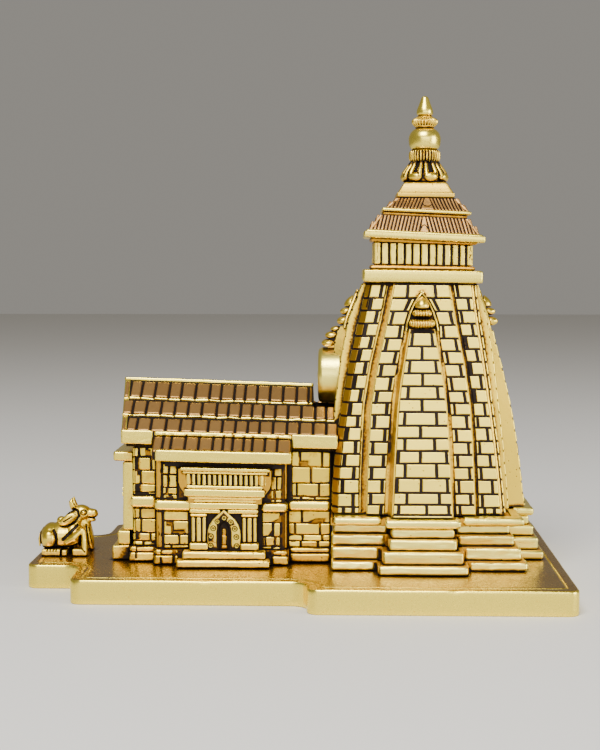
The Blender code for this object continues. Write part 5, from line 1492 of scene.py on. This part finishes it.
    def crown(self, side: Side) -> list[tuple[Shape, Brass]]:
        """A rib's crown: two fluted bars and a dome in a pointed frame.

        Args:
            side: the face that it is on.

        Returns:
            Its shapes with their finishes, laid out as on the front.
        """
        bars = self.bolster(100.6, 4.9, 30.7, (3.0, 1.75), 10) + self.bolster(104.3, 3.6, 29.8, (3.0, 1.55),
            7)
        dome = loft([[(self.centre + r * math.cos(a), -25.3 - r * 1.15 * max(-math.sin(a), -0.1), z)
                      for a in wheel(24)]
                     for z, r in smooth_line(((106.0, 2.1), (106.4, 2.6), (107.4, 2.65), (108.7, 2.1),
            (109.8, 1.2), (110.6, 0.15)), 14)])
        path = [(98.0, 5.95), (101.1, 5.35), (104.6, 4.25), (107.9, 2.75), (110.9, 0.75), (111.9, 0.0)]
        spots = []
        for z, u in path + [(z, -u) for z, u in reversed(path[:-1])]:
            spots.append(Vector((self.centre + u, -self.reach(side, z) - 0.35, z)))
        rings = []
        for i, spot in enumerate(spots):
            along = (spots[min(i + 1, len(spots) - 1)] - spots[max(i - 1, 0)]).normalized()
            across = along.cross(Vector((0, 1, 0))).normalized()
            rings.append([tuple(spot + across * 0.42 * math.cos(a) + Vector((0, 0.75 * math.sin(a), 0)))
                          for a in wheel(12)])
        knob = loft([[(self.centre + r * math.cos(a), -self.reach(side, 112.0) - 0.3 + r * 0.8 * math.sin(a),
                       z) for a in wheel(12)] for z, r in ((111.3, 0.3), (111.6, 0.75), (112.1, 0.85),
            (112.6, 0.7), (112.9, 0.2))])
        rows = ((98.4, 5.6), (102.4, 4.8), (106.0, 3.5), (110.8, 0.5))
        ground = loft([[(self.centre - h, -self.reach(side, z) + 0.2, z),
                        (self.centre + h, -self.reach(side, z) + 0.2, z), (self.centre + h, -21.0, z),
                        (self.centre - h, -21.0, z)] for z, h in rows]).dense(0.8, "xz")
        return [(bars + dome, FIGURED), (loft(rings).dense(1.2, "z") + knob, WORN), (ground, AMBER_JOINT_AND_SHADE)]

    def build(self, foundry: Foundry) -> None:
        """Makes the plinth, the sill, the bricks and the crowns."""
        lay = foundry.lay
        for side in Side:
            name = side.name.lower()
            turn = lambda shape: shape.turned(side.value, self.centre).mapped(self.spread)
            columns = self.columns(side)
            way = Lay(rounds=1, edge=0.26, joint=0.95, bed=0.62, stagger=0.14, tilt=0.16, wobble=0.22,
                      grain=0.45, seed=50 + side.value)
            bricks = lay([cell for cells, _ in columns for cell in cells], way)
            parts = [(turn(bricks), WORN), (turn(total(plate for _, plate in columns)), JOINT_AND_SHADE),
                     (turn(self.rib_body(side)), SIDE_SHADE)]
            nodes = "tower_rib_" + name
            if side is Side.FRONT:
                body, strips = self.core()
                cells, plate = self.bevels()
                blocks = lay(cells, Lay(rounds=1, edge=0.3, joint=0.1, bed=0.5, wobble=0.25, stagger=0.2,
                                        seed=57))
                # body and corner bevel blocks: darker as painted shade on faces turned aside; groove strips:
                # painted shade in the grooves
                parts += [(body.mapped(self.spread), SIDE_SHADE), (strips.mapped(self.spread), GROOVE_SHADE),
                          (blocks.both(), AMBER_JOINT_AND_SHADE), (plate.both(), JOINT_AND_SHADE)]
                nodes += " tower_body"
            foundry.piece("tower_bricks_" + name, parts, nodes, sharp=50)
            foundry.piece("crown_" + name, [(turn(shape), brass) for shape, brass in self.crown(side)],
                          "rib_crown_" + name, Slot.FIGURE, 50)
        names = ("plinth_foot", "plinth_step", "plinth_neck", "plinth_top")
        for level, (name, (low, high, corner, half, reach)) in enumerate(zip(names, self.plinth)):
            near, deep = min(corner, 33.9), corner - 24.6
            front_cells = [front(self.span(-near, -half - 0.9), (low, high), corner, deep),
                           front(self.span(half + 0.9, corner), (low, high), corner - 0.1, 6.0),
                           front(self.span(corner - 2.0, reach - 0.3), (low, high - 0.1), half + 0.1, 3.4),
                           front(self.span(-half, half), (low, high), reach, reach - corner + 2.0)]
            end_cells = [front(self.span(5.6 - corner, -half - 0.9), (low, high), corner, 3.0),
                         front(self.span(half + 0.9, corner - 5.6), (low, high), corner, 3.0),
                         front_cells[-1]]
            way = Lay(rounds=3, middles=even(7), edge=0.95, joint=0.3, wobble=0.75, tilt=0.45, stagger=0.35,
                      grain=0.3, seed=60 + level)
            stones = lay(front_cells, way).both() + lay(end_cells, replace(way, seed=70 + level)).turned(1,
                self.centre)
            core = box((self.centre - near + 1.1, self.centre + corner - 1.1), (1.1 - corner, corner - 1.1),
                       (low, high))
            core += box(self.span(-half, half), (1.4 - reach, reach - 1.4), (low, high))
            core += box((self.centre, self.centre + reach - 1.4), (1.2 - half, half - 1.2), (low, high))
            foundry.piece(name + "_stones", [(stones, LIT_WORN), (core.dense(1.6), AMBER_JOINT_AND_SHADE)], name, sharp=50)
        bars = [front(self.span(-33.1, -14.9), (25.9, 29.0), 37.9, 13.2),
                front(self.span(14.9, 37.9), (25.9, 29.0), 37.9, 6.0),
                front(self.span(-14.1, 14.1), (25.8, 29.2), 44.4, 8.0)]
        ends = [front(self.span(-32.2, -14.7), (25.9, 29.0), 37.6, 4.0),
                front(self.span(14.7, 32.2), (25.9, 29.0), 37.6, 4.0),
                front(self.span(-13.9, 13.9), (25.8, 29.2), 44.4, 8.0)]
        way = Lay(rounds=4, middles=even(8), edge=1.1, joint=0.3, wobble=0.5, tilt=0.2, stagger=0.1,
                  grain=0.22, seed=80)
        shape = lay(bars, way).both() + lay(ends, replace(way, seed=81)).turned(1, self.centre)
        core = box(self.span(-33.9, 36.4), (-36.4, 36.4), (25.9, 28.6)).dense(1.8)
        foundry.piece("tower_sill_bars", [(shape, LIT_WORN), (core, AMBER_JOINT_AND_SHADE)], "tower_sill", sharp=50)


@dataclass
class Drum:
    """The round drum that closes the hall's ridge against the tower, and the small crown over it."""

    centre: float = TOWER_X
    height: float = 79.2
    radius: float = 10.9
    reach: float = 39.7

    def spin(self, rows: Sequence[Pair], segments: int = 72) -> Shape:
        """Turns (reach, radius) rows round the drum's level axis."""
        return loft([[(self.centre - x, r * math.cos(a), self.height + r * math.sin(a))
                      for a in wheel(segments)] for x, r in rows])

    def build(self, foundry: Foundry) -> None:
        """Makes the drum with its rosette, and its crown."""
        rim, out = self.radius, self.reach
        rows = smooth_line(((31.0, rim), (34.0, rim), (37.0, rim), (out - 1.9, rim), (out - 0.8, rim - 0.6),
                            (out - 0.4, rim - 1.6), (out - 0.35, rim - 2.4)), 30)
        rows += [(out - 1.0, rim - 2.7), (out - 1.2, rim - 3.2), (out - 1.2, 0.2)]
        petals = []
        for k in range(12):
            a0, a1 = 2 * math.pi * k / 12, 2 * math.pi * (k + 1) / 12
            spots = [(self.centre - out + 0.5, -r * math.cos(a), self.height + r * math.sin(a)) for r, a in
                     ((2.9, a0), (7.4, a0), (7.4, a1), (2.9, a1))]
            petals.append(Cell(tuple(spots), 1.0))
        rosette = foundry.lay(petals, Lay(rounds=4, middles=(0.0,), edge=0.75, joint=0.35, stagger=0.1,
            tilt=0.1, seed=90))
        boss = self.spin(smooth_line(((out - 1.4, 2.7), (out - 0.6, 2.6), (out - 0.15, 1.6), (out, 0.15)),
            10), 32)
        foundry.piece("ridge_drum", [(self.spin(rows), LIT_WORN), (rosette + boss, FIGURED)], "medallion",
                      Slot.POLISHED, 50)
        tower = Tower()
        bars = [tower.bolster(z, half, reach, (size, tall), flutes)
                for z, half, reach, size, tall, flutes in ((91.9, 5.8, 38.1, 3.0, 1.5, 11),
            (94.9, 4.6, 36.7, 2.8, 1.45, 8), (97.3, 3.0, 34.6, 2.4, 1.2, 5))]
        stem = loft([[(self.centre - h, -r, z), (self.centre + h, -r, z), (self.centre + h, -28.0, z),
                      (self.centre - h, -28.0, z)]
                     for z, h, r in ((90.3, 5.0, 35.6), (94.0, 4.0, 34.6), (98.0, 2.0, 32.6))])
        foundry.piece("drum_crown",
                      [(total(bars).turned(3, self.centre), FIGURED), (stem.turned(3, self.centre), AMBER_JOINT_AND_SHADE)],
                      "hall_crown", Slot.FIGURE, 50)


def tube(path: Sequence[Point], radius: float | Sequence[float], count: int = 10) -> Shape:
    """A closed round bar along a path.

    Args:
        path: points on its axis.
        radius: one radius, or one for each point.
        count: points round it.

    Returns:
        The bar.
    """
    spots = [Vector(p) for p in path]
    sizes = [radius] * len(spots) if isinstance(radius, (int, float)) else radius
    rings = []
    normal = Vector((0.31, 0.62, 0.72))
    for i, (spot, size) in enumerate(zip(spots, sizes)):
        along = (spots[min(i + 1, len(spots) - 1)] - spots[max(i - 1, 0)]).normalized()
        side = along.cross(normal).normalized()
        rest = along.cross(side)
        rings.append([tuple(spot + side * size * math.cos(a) + rest * size * math.sin(a))
                      for a in wheel(count)])
    return loft(rings)


@dataclass
class TowerTop:
    """The slab, the barred storey and the two stepped roofs, which hang a little on one side."""

    centre: float = TOWER_X
    shift: float = 1.9
    lean_at: Row = (115.0, 116.0, 120.5, 122.5, 130.4, 131.8, 146.0, 148.0, 153.0)
    lean_by: Row = (0.0, 0.014, 0.014, 0.02, 0.033, 0.05, 0.05, 0.012, 0.0)
    bars: tuple[Pair, ...] = ((-18.5, -16.2), (-15.6, -13.3), (-12.5, -10.3), (-9.7, -7.4), (-6.6, -4.5),
        (-3.8, -1.4), (-0.7, 1.7), (2.5, 4.6), (5.3, 7.3), (8.2, 10.2), (11.1, 13.1), (14.0, 15.7),
        (16.6, 18.7))

    def lean(self, points: np.ndarray) -> np.ndarray:
        """Lets the roofs stand a little off the tower's middle and hang lower away from the hall."""
        points[:, 0] += np.interp(points[:, 2], (115.0, 121.5, 122.5, 130.6, 131.7, 148.0, 148.3),
            (0.4, 0.5, 0.7, 0.7, 1.0, 1.0, 0.0))
        points[:, 2] -= np.interp(points[:, 2], self.lean_at, self.lean_by) * (points[:, 0] - self.centre)
        return points

    def slab(self, rows: Sequence[Pair], corner: float = 1.0, moves: Pair = (0.0, 0.0)) -> Shape:
        """A square solid with softened corners.

        Args:
            rows: (height, half width) from the bottom up.
            corner: radius of its upright corners.
            moves: how far its first and last row are moved sideways.

        Returns:
            The solid, cut fine enough to take patina.
        """
        rings = []
        for (z, half), move in zip(rows, np.linspace(*moves, len(rows)).tolist()):
            radius = min(corner, half * 0.5)
            ring = []
            for c, s in QUARTERS:
                side = [(u, -half) for u in np.linspace(-half + radius, half - radius, 26)]
                side += [(half - radius + radius * math.sin(a), -half + radius - radius * math.cos(a))
                         for a in (math.pi / 2 * k / 5 for k in range(1, 5))]
                ring += [(self.centre + move + x * c - y * s, x * s + y * c, z) for x, y in side]
            rings.append(ring)
        return loft(rings)

    def slope(self, foundry: Foundry, z: Pair, half: Pair, kite: Pair, pitch: float,
              smile: float, seed: int) -> tuple[Shape, Shape]:
        """One slope: slanted ribs either side of a plain kite, which has a small arc in its foot.

        Args:
            foundry: who casts them.
            z: the slope's lowest and highest height.
            half: half width at both.
            kite: half width of the plain middle at its foot and head.
            pitch: distance between ribs.
            smile: height of the arc's middle over its ends; below 0 it sags.
            seed: for its unevenness.

        Returns:
            The ribs with the kite, and the dark arc.
        """
        slant = kite[0] - kite[1]

        def spot(sign: int, u: float, share: float, rise: float = 0.0) -> Point:
            """A point of the slope."""
            return self.centre + sign * u, -(half[0] + (half[1] - half[0]) * share) - rise, z[0] + (z[1]
                - z[0]) * share
        cells = []
        count = round((half[0] - 0.2 - kite[0]) / pitch)
        for sign in (-1, 1):
            stops = np.linspace(half[0] - 0.2, kite[0] + 0.1, count + 1)
            for outer, inner in zip(stops, stops[1:]):
                top = min(1.0, (half[0] - inner) / max(half[0] - half[1] - slant, 0.1))
                spots = [spot(sign, outer, 0.0), spot(sign, inner, 0.0), spot(sign, inner - slant * top, top),
                         spot(sign, outer - slant * top - (0.0 if top == 1.0 else -0.2), top)]
                if sign > 0:
                    spots = [spots[1], spots[0], spots[3], spots[2]]
                cells.append(Cell(tuple(spots), 0.9))
        ribs = foundry.lay(cells, Lay(rounds=2, edge=0.24, joint=0.5, bed=0.1, stagger=0.14, tilt=0.1,
            wobble=0.12, seed=seed))
        plain = Cell((spot(-1, kite[0] - 0.2, 0.0), spot(1, kite[0] - 0.2, 0.0), spot(1, kite[1], 1.0),
                      spot(-1, kite[1], 1.0)), 0.9)
        middle = foundry.lay([plain], Lay(rounds=2, middles=even(2), edge=0.22, joint=0.1, stagger=0.0,
            seed=seed + 1))
        wide = kite[0] * 0.62
        arc = tube([spot(1, wide * u, 0.24 + 0.16 * (smile < 0) + smile * (1 - u * u), -0.02)
                    for u in np.linspace(-1, 1, 13)], 0.17)
        return ribs + middle, arc

    def build(self, foundry: Foundry) -> None:
        """Makes the storey and its roofs."""
        rows = smooth_line(((115.75, 21.6), (115.9, 22.2), (116.5, 22.55), (118.2, 22.6), (119.8, 22.55),
                            (120.3, 22.2), (120.45, 21.5)), 20)
        slab = self.slab(rows)
        foundry.piece("cap_slab_cast", [(slab, SATIN)], "cap_slab", Slot.POLISHED, 50, bend=self.lean)
        neck = self.slab([(120.5, 19.4), (121.0, 19.7), (121.6, 19.6), (121.9, 19.3), (122.1, 19.0)], 0.5)
        # neck under the slab: amber as painted shade
        foundry.piece("neck_moulding", [(neck, AMBER_JOINT_AND_SHADE)], "neck_mould", bend=self.lean)
        storey = self.slab([(z, 17.95) for z in np.linspace(122.1, 130.6, 8)], 0.3)
        cells = [front((self.centre + a, self.centre + b), (122.4, 130.5), 18.9, 1.5) for a, b in self.bars]
        way = Lay(rounds=2, middles=(-0.6, -0.2, 0.2, 0.6), edge=0.34, joint=0.05, stagger=0.2, tilt=0.25,
                  wobble=0.6, grain=0.7, seed=100)
        posts = total(foundry.lay(cells, replace(way, seed=100 + k)).turned(k, self.centre) for k in range(4))
        # storey behind the bars: near black as painted shade between the bars
        foundry.piece("barred_storey", [(posts, WORN), (storey, JOINT_AND_SHADE)], "loggia", bend=self.lean)

        soffit = self.slab([(130.7, 19.6), (131.2, 20.0), (131.8, 20.0), (132.2, 20.0)], 0.5)
        rows = [(131.8, 21.5), (131.9, 22.3), (132.2, 22.65), (132.8, 22.7), (133.7, 22.7), (134.1, 22.6),
                (134.25, 22.2), (134.3, 21.9), (134.75, 21.7), (134.9, 21.3), (134.9, 20.4)]
        eave = self.slab(rows, 0.5)
        bed = self.slab([(134.6, 20.5), (140.9, 16.0)], 0.4)
        neck = self.slab([(140.7, 15.8), (141.2, 16.0), (141.6, 15.9), (142.0, 15.7)], 0.4, (0.3, 0.6))
        ribs, arc = self.slope(foundry, (134.95, 140.9), (20.95, 16.6), (1.9, 0.4), 1.33, 0.2, 110)
        faces, arcs = (total(shape.turned(k, self.centre) for k in range(4)) for shape in (ribs, arc))
        # soffit and neck: amber as painted shade under the eave
        foundry.piece("lower_roof_ribbed", [(eave, SATIN), (soffit + neck, AMBER_JOINT_AND_SHADE),
                                            (faces, TILE_REFLECTION), (bed + arcs, JOINT_AND_SHADE)],
                      "lower_roof", Slot.ROOF, 50, bend=self.lean)
        rows = [(142.1, 15.9), (142.2, 16.5), (142.5, 16.85), (142.95, 16.9), (143.3, 16.7), (143.5, 16.2),
                (143.55, 15.6)]
        lip = self.slab(rows, 0.5, (1.0, 1.0))
        bed = self.slab([(143.3, 15.5), (148.1, 10.7)], 0.4, (1.2, 1.6))
        move = lambda p: p + (1.35, 0.0, 0.0)
        ribs, arc = self.slope(foundry, (143.75, 148.1), (15.85, 11.3), (2.7, 0.8), 1.3, -0.16, 114)
        faces, arcs = (total(shape.turned(k, self.centre) for k in range(4)).mapped(move)
                       for shape in (ribs, arc))
        foundry.piece("upper_roof_ribbed", [(lip, SATIN), (faces, TILE_REFLECTION),
                                            (bed + arcs, JOINT_AND_SHADE)], "upper_roof", Slot.ROOF, 50, bend=self.lean)
        rows = smooth_line(((148.3, 10.5), (148.4, 10.95), (149.4, 11.0), (149.85, 10.95), (150.1, 10.6),
                            (152.0, 9.35), (153.8, 8.25), (154.1, 7.6)), 26)
        cap = self.slab(rows, 0.5, (self.shift, self.shift))
        foundry.piece("roof_cap_cast", [(cap, CAP_REFLECTION)], "roof_cap", Slot.POLISHED, 40, bend=self.lean)


@dataclass
class Finial:
    """The finial: looped petals, ribbed rings, ball and tip."""

    centre: Pair = (49.7, 0.0)
    petals: int = 8

    def petal(self) -> tuple[Shape, Shape]:
        """One petal, towards +x: its rounded foot with two straps, and the dark slot between them."""
        rings = []
        for a in np.linspace(-math.pi / 2 + 0.1, math.pi / 2 - 0.1, 12):
            c, s = math.cos(a), math.sin(a)
            rings.append([(8.0 + 1.65 * c * math.cos(b), 2.75 * c * math.sin(b),
                           156.4 + (1.5 if s > 0 else 2.0) * s) for b in wheel(20)])
        straps = total(tube([(8.3, 1.75 * sign, 156.3), (7.7, 1.8 * sign, 158.0), (6.2, 1.5 * sign, 160.2),
                             (4.9, 1.2 * sign, 162.0)], (0.95, 0.85, 0.75, 0.7)) for sign in (-1, 1))
        slot = loft([[(x, y, z) for x, y in ((r - 2.0, -0.8), (r, -0.8), (r, 0.8), (r - 2.0, 0.8))]
                     for z, r in ((157.2, 7.9), (159.4, 6.6), (161.8, 4.9))])
        return loft(rings) + straps, slot

    def placed(self, shape: Shape, k: int) -> Shape:
        """A petal turned to its place."""
        spin = np.array(Matrix.Rotation(2 * math.pi * (k + 0.35) / self.petals, 3, "Z"))
        return Shape(shape.points @ spin.T + (*self.centre, 0.0), shape.faces, shape.tone)

    def build(self, foundry: Foundry) -> None:
        """Makes the finial."""
        core = turning(smooth_line(((154.3, 7.0), (155.4, 7.2), (157.0, 6.4), (159.5, 5.0), (161.6, 4.2),
            (162.1, 4.0)), 18), self.centre, 48)
        petal, slot = self.petal()
        loops, slots = (total(self.placed(shape, k) for k in range(self.petals)) for shape in (petal, slot))
        foundry.piece("looped_collar", [(loops, FIGURED), (slots, JOINT_AND_SHADE), (core, AMBER_JOINT_AND_SHADE)], "lotus_collar",
                      Slot.FIGURE, 60)
        for name, node, brass, count, turns, profile in (("ribbed_ring_low", "finial_ring_low", FIGURED, 22,
                (192, 30, 0.7, (162.5, 166.5)),
                ((162.2, 4.9), (162.5, 5.5), (163.2, 5.95), (164.5, 6.1), (165.8, 6.0), (166.5, 5.6),
                 (166.85, 5.0))),
                ("finial_ball_cast", "finial_ball", SATIN, 34, (72,),
                 ((166.95, 4.7), (167.5, 5.35), (168.6, 5.95), (170.3, 6.2), (171.8, 6.15), (173.3, 5.6),
                  (174.4, 4.7), (175.0, 3.8), (175.35, 2.9))),
                ("ribbed_ring_high", "finial_ring_high", FIGURED, 24, (168, 24, 0.6, (176.2, 179.1)),
                 ((175.4, 3.6), (175.8, 3.9), (176.4, 4.4), (177.2, 5.0), (178.1, 5.05), (178.8, 4.5),
                  (179.4, 3.4), (180.0, 2.7))),
                ("finial_tip_cast", "finial_tip", SATIN, 26, (48,),
                 ((180.1, 2.5), (180.5, 3.0), (181.2, 3.2), (182.4, 3.05), (184.6, 2.2), (186.4, 1.55),
                  (187.2, 1.2), (187.55, 0.5), (187.6, 0.12)))):
            shape = turning(smooth_line(profile, count), self.centre, *turns)
            foundry.piece(name, [(shape, brass)], node, Slot.FIGURE if brass is FIGURED else Slot.POLISHED,
                          60)


@dataclass
class Bull:
    """The resting bull on the plate's tongue, modelled from rounded masses and cut lines."""

    place: Point = (-90.6, -6.6, PLATE_TOP)
    limits: Point = (-101.45, -60.0, 9.22)
    voxel: float = 0.2
    line_shade_and_patina: float = 14.0

    def mass(self, centre: Point, radii: Point, tilt: float = 0.0, turn: float = 0.0) -> Shape:
        """An egg-shaped mass, tipped nose up and turned sideways, in the bull's own frame."""
        rows = [(math.sin(a), math.cos(a)) for a in np.linspace(-math.pi / 2 + 0.08, math.pi / 2 - 0.08, 14)]
        shape = loft([[(r * math.cos(t), r * math.sin(t), z) for t in wheel(22)] for z, r in rows])
        spin = np.array(Matrix.Rotation(math.radians(turn), 3, "Z")
                        @ Matrix.Rotation(math.radians(-tilt), 3, "Y"))
        return Shape((shape.points * radii) @ spin.T + centre, shape.faces)

    def masses(self) -> Shape:
        """All the masses of the body."""
        parts = [self.mass((-1.5, 0, 6.4), (8.3, 6.6, 5.9)), self.mass((-6.0, 0, 6.0), (4.4, 7.0, 5.9)),
                 self.mass((3.0, 0, 7.0), (4.9, 6.2, 6.2)), self.mass((-2.2, 0, 12.6), (1.8, 1.9, 1.8)),
                 self.mass((6.9, 0, 11.4), (2.7, 2.2, 3.0)), self.mass((3.6, 0, 13.2), (3.3, 3.7, 4.6), -20),
                 self.mass((6.0, 0, 15.8), (3.9, 3.2, 3.2), -8),
                 self.mass((9.2, 0, 15.6), (3.3, 2.2, 2.0), -6), self.mass((10.9, 0, 15.7), (1.4, 1.8, 1.6)),
                 self.mass((9.6, 0, 13.1), (2.0, 1.5, 0.85), -6),
                 self.mass((8.9, 0, 6.6), (1.5, 2.6, 5.6), 12),
                 tube([(-8.8, -1.0, 10.0), (-9.9, -2.2, 8.2), (-10.4, -3.0, 5.8), (-10.1, -3.6, 3.0)],
                      (0.5, 0.55, 0.5, 0.35))]
        for s in (-1, 1):
            bars = [((-8.4, -1.2), 2.6), ((-0.5, 1.3), 2.3), ((3.7, 9.2), 2.7)]
            parts += [box(x, (min(5.2 * s, 8.9 * s), max(5.2 * s, 8.9 * s)), (0.0, z)) for x, z in bars]
            parts += [self.mass((-6.0, 6.3 * s, 6.2), (2.6, 1.9, 3.4)),
                      tube([(0.4, 6.1 * s, 4.9), (4.2, 6.5 * s, 7.0), (7.5, 6.3 * s, 10.1)], (1.3, 1.8, 1.3)),
                      tube([(7.5, 6.4 * s, 10.4), (8.1, 7.2 * s, 6.0), (8.3, 7.7 * s, 1.4)], (1.0, 1.2, 1.2)),
                      tube([(3.2, 1.8 * s, 17.6), (2.5, 2.2 * s, 19.2), (2.2, 2.4 * s, 20.6),
                            (2.6, 2.1 * s, 21.9)], (1.25, 1.15, 0.9, 0.2)),
                      self.mass((1.3, 4.9 * s, 13.9), (3.9, 0.95, 1.8), 31, -6 * s),
                      self.mass((7.2, 2.6 * s, 16.2), (0.75, 0.7, 0.7))]
        return total(parts)

    def strokes(self) -> list[tuple[Sequence[Pair], float, float, Pair]]:
        """The lines that the modeller cut, darkened as patina in them and as painted shade in creases; the
        long line along the foot is a painted contact shadow.

        Returns:
            For each its path along the bull and up, half width, depth and the range of distances from the
            middle in which it is cut.
        """
        eye = [(7.2 + 1.2 * math.cos(a), 16.2 + 1.05 * math.sin(a))
               for a in (2 * math.pi * k / 12 for k in range(13))]
        side, behind = (3.0, 9.9), (1.2, 4.9)
        return [([(-0.4, 6.2), (4.7, 11.2)], 0.55, 0.9, side),
                ([(-4.3, 9.5), (-3.3, 8.0), (-2.95, 6.2), (-3.3, 4.2)], 0.42, 0.8, side),
                ([(-9.0, 3.0), (2.6, 3.2), (4.8, 4.2)], 0.32, 0.9, side),
                ([(5.6, 4.3), (6.7, 7.7)], 0.5, 1.4, side), ([(6.0, 3.8), (6.4, 6.0)], 0.75, 1.4, side),
                ([(-0.9, 0.2), (-0.85, 2.6)], 0.36, 1.6, side), ([(2.2, 0.4), (2.6, 2.9)], 0.8, 2.2, side),
                # on the next line, the second stroke, along the foot, is a painted contact shadow
                ([(7.0, 3.4), (8.4, 1.7)], 0.16, 0.3, side), ([(-9.2, 0.1), (9.5, 0.1)], 0.16, 0.1, side),
                ([(-10.0, 8.6), (-9.6, 5.0), (-9.4, 3.4)], 0.3, 0.3, (0.0, 9.0)),
                ([(-2.0, 11.6), (1.6, 11.4), (4.0, 12.8), (5.4, 15.0), (4.8, 16.9), (3.2, 17.8)], 0.42, 0.6,
                 behind), ([(-2.2, 12.4), (0.4, 15.3), (2.6, 17.1)], 0.42, 0.5, behind),
                ([(-0.3, 13.1), (2.9, 14.9)], 0.22, 0.4, (4.6, 9.0)), (eye, 0.2, 0.25, (1.2, 4.0)),
                ([(8.9, 14.2), (12.4, 14.0)], 0.26, 0.7, (0.0, 4.0)),
                ([(7.9, 11.2), (8.6, 6.0), (8.7, 1.0)], 0.3, 0.4, (0.6, 6.0)),
                ([(9.0, 10.0), (10.2, 4.0)], 0.16, 0.2, (0.3, 6.0))] + [([(x, 1.9), (x + 0.25, 2.7)], 0.14,
            0.4, side) for x in (-6.4, -5.2, -4.0, -2.9)]

    def pressed_and_darkened(self, shape: Shape) -> Shape:
        """Presses the lines into the skin and darkens them with patina and painted shade.

        Args:
            shape: the joined skin, in the bull's own frame.

        Returns:
            The finished skin.
        """
        points, tone = shape.points.copy(), np.zeros(len(shape.points))
        flat, away, side = shape.points[:, (0, 2)], np.abs(shape.points[:, 1]), np.sign(shape.points[:, 1])
        for path, half, deep, (low, high) in self.strokes():
            gap = np.full(len(flat), 9.0)
            for start, end in zip(path, path[1:]):
                a, run = np.array(start), np.array(end) - start
                share = np.clip(((flat - a) @ run) / (run @ run), 0.0, 1.0)[:, None]
                gap = np.minimum(gap, np.linalg.norm(flat - a - share * run, axis=1))
            level = np.clip((half + 0.1 - gap) / 0.2, 0.0, 1.0) * (away > low) * (away < high)
            points[:, 1] -= side * deep * level
            tone = np.maximum(tone, self.line_shade_and_patina * level)
        return Shape(points, shape.faces, tone)

    def solid(self, shape: Shape, name: str) -> bpy.types.Object:
        """A loose object of a shape, joined into one skin by a voxel remesh."""
        made = in_scene(name, shape.mesh(name))
        remesh = made.modifiers.new("Skin", "REMESH")
        remesh.mode, remesh.voxel_size = "VOXEL", self.voxel
        return made

    def build(self, foundry: Foundry) -> None:
        """Makes the bull."""
        body = self.solid(self.masses(), "bull body")
        soft = body.modifiers.new("Soft", "SMOOTH")
        soft.factor, soft.iterations = 0.5, 5
        shape = self.pressed_and_darkened(Shape.read(evaluated(body)))
        bpy.data.objects.remove(body)
        shape = shape.mapped(lambda p: np.maximum(p + self.place, self.limits))
        foundry.piece("resting_bull", [(shape, FIGURED)], "bull", Slot.FIGURE, 70)


@dataclass(frozen=True)
class Studio:
    """The pale floor, the soft lights and the camera at the photograph's angle."""

    floor_half: float = 3.0
    paper: Colour = (0.70, 0.68, 0.64)
    room: Colour = (1.0, 0.95, 0.86)
    room_power: float = 0.28
    aim: Point = (0.0, 0.0, 0.08)
    camera_at: Point = (0.02016, -0.57645, 0.12289)
    camera_down: float = 4.34
    camera_turn: float = 1.88
    lens: float = 1466.92 / 600 * 36

    def lamp(self, name: str, place: Point, size: Pair, power: float) -> None:
        """Hangs one soft light that looks at the model."""
        light = bpy.data.lights.new(name, "AREA")
        light.shape, light.size, light.size_y, light.energy = "RECTANGLE", *size, power
        lamp = in_scene(name, light)
        lamp.location = place
        lamp.rotation_euler = (Vector(self.aim) - Vector(place)).to_track_quat("-Z", "Y").to_euler()

    def build(self) -> None:
        """Sets the scene."""
        half = self.floor_half
        mesh = bpy.data.meshes.new("floor")
        mesh.from_pydata([(-half, -half, 0), (half, -half, 0), (half, half, 0), (-half, half, 0)], [],
                         [(0, 1, 2, 3)])
        material = bpy.data.materials.new("pale paper")
        material.use_nodes = True
        shader = material.node_tree.nodes["Principled BSDF"]
        shader.inputs["Base Color"].default_value = (*self.paper, 1)
        shader.inputs["Roughness"].default_value = 0.8
        mesh.materials.append(material)
        floor = in_scene("floor", mesh)
        world = bpy.data.worlds.new("soft room")
        world.use_nodes = True
        colour, power = world.node_tree.nodes["Background"].inputs[:2]
        colour.default_value, power.default_value = (*self.room, 1), self.room_power
        bpy.context.scene.world = world
        self.lamp("key", (-0.15, -0.70, 1.05), (0.6, 0.5), 22)
        self.lamp("front fill", (0.15, -1.2, 0.36), (1.4, 0.5), 7.5)
        self.lamp("side fill", (1.1, -0.45, 0.30), (0.6, 0.6), 12)
        camera = bpy.data.cameras.new("camera")
        camera.sensor_fit, camera.sensor_width, camera.lens = "HORIZONTAL", 36.0, self.lens
        camera.clip_start = 0.01
        holder = in_scene("camera", camera)
        holder.location = self.camera_at
        holder.rotation_euler = (math.radians(90 - self.camera_down), 0.0, math.radians(self.camera_turn))
        bpy.context.scene.camera = holder


def main() -> None:
    """Builds every part of the model in order and writes how large it came out."""
    logging.basicConfig(level=logging.INFO, format="%(message)s")
    Studio().build()
    foundry = Foundry()
    for part in (BasePlate(), Bull(), HallWalls(), Niche(), HallEnd(), TiledRoof(), Tower(), Drum(),
                 TowerTop(), Finial()):
        part.build(foundry)
    PatinaAndShade().settle(foundry.pieces)


if __name__ == "__main__":
    main()
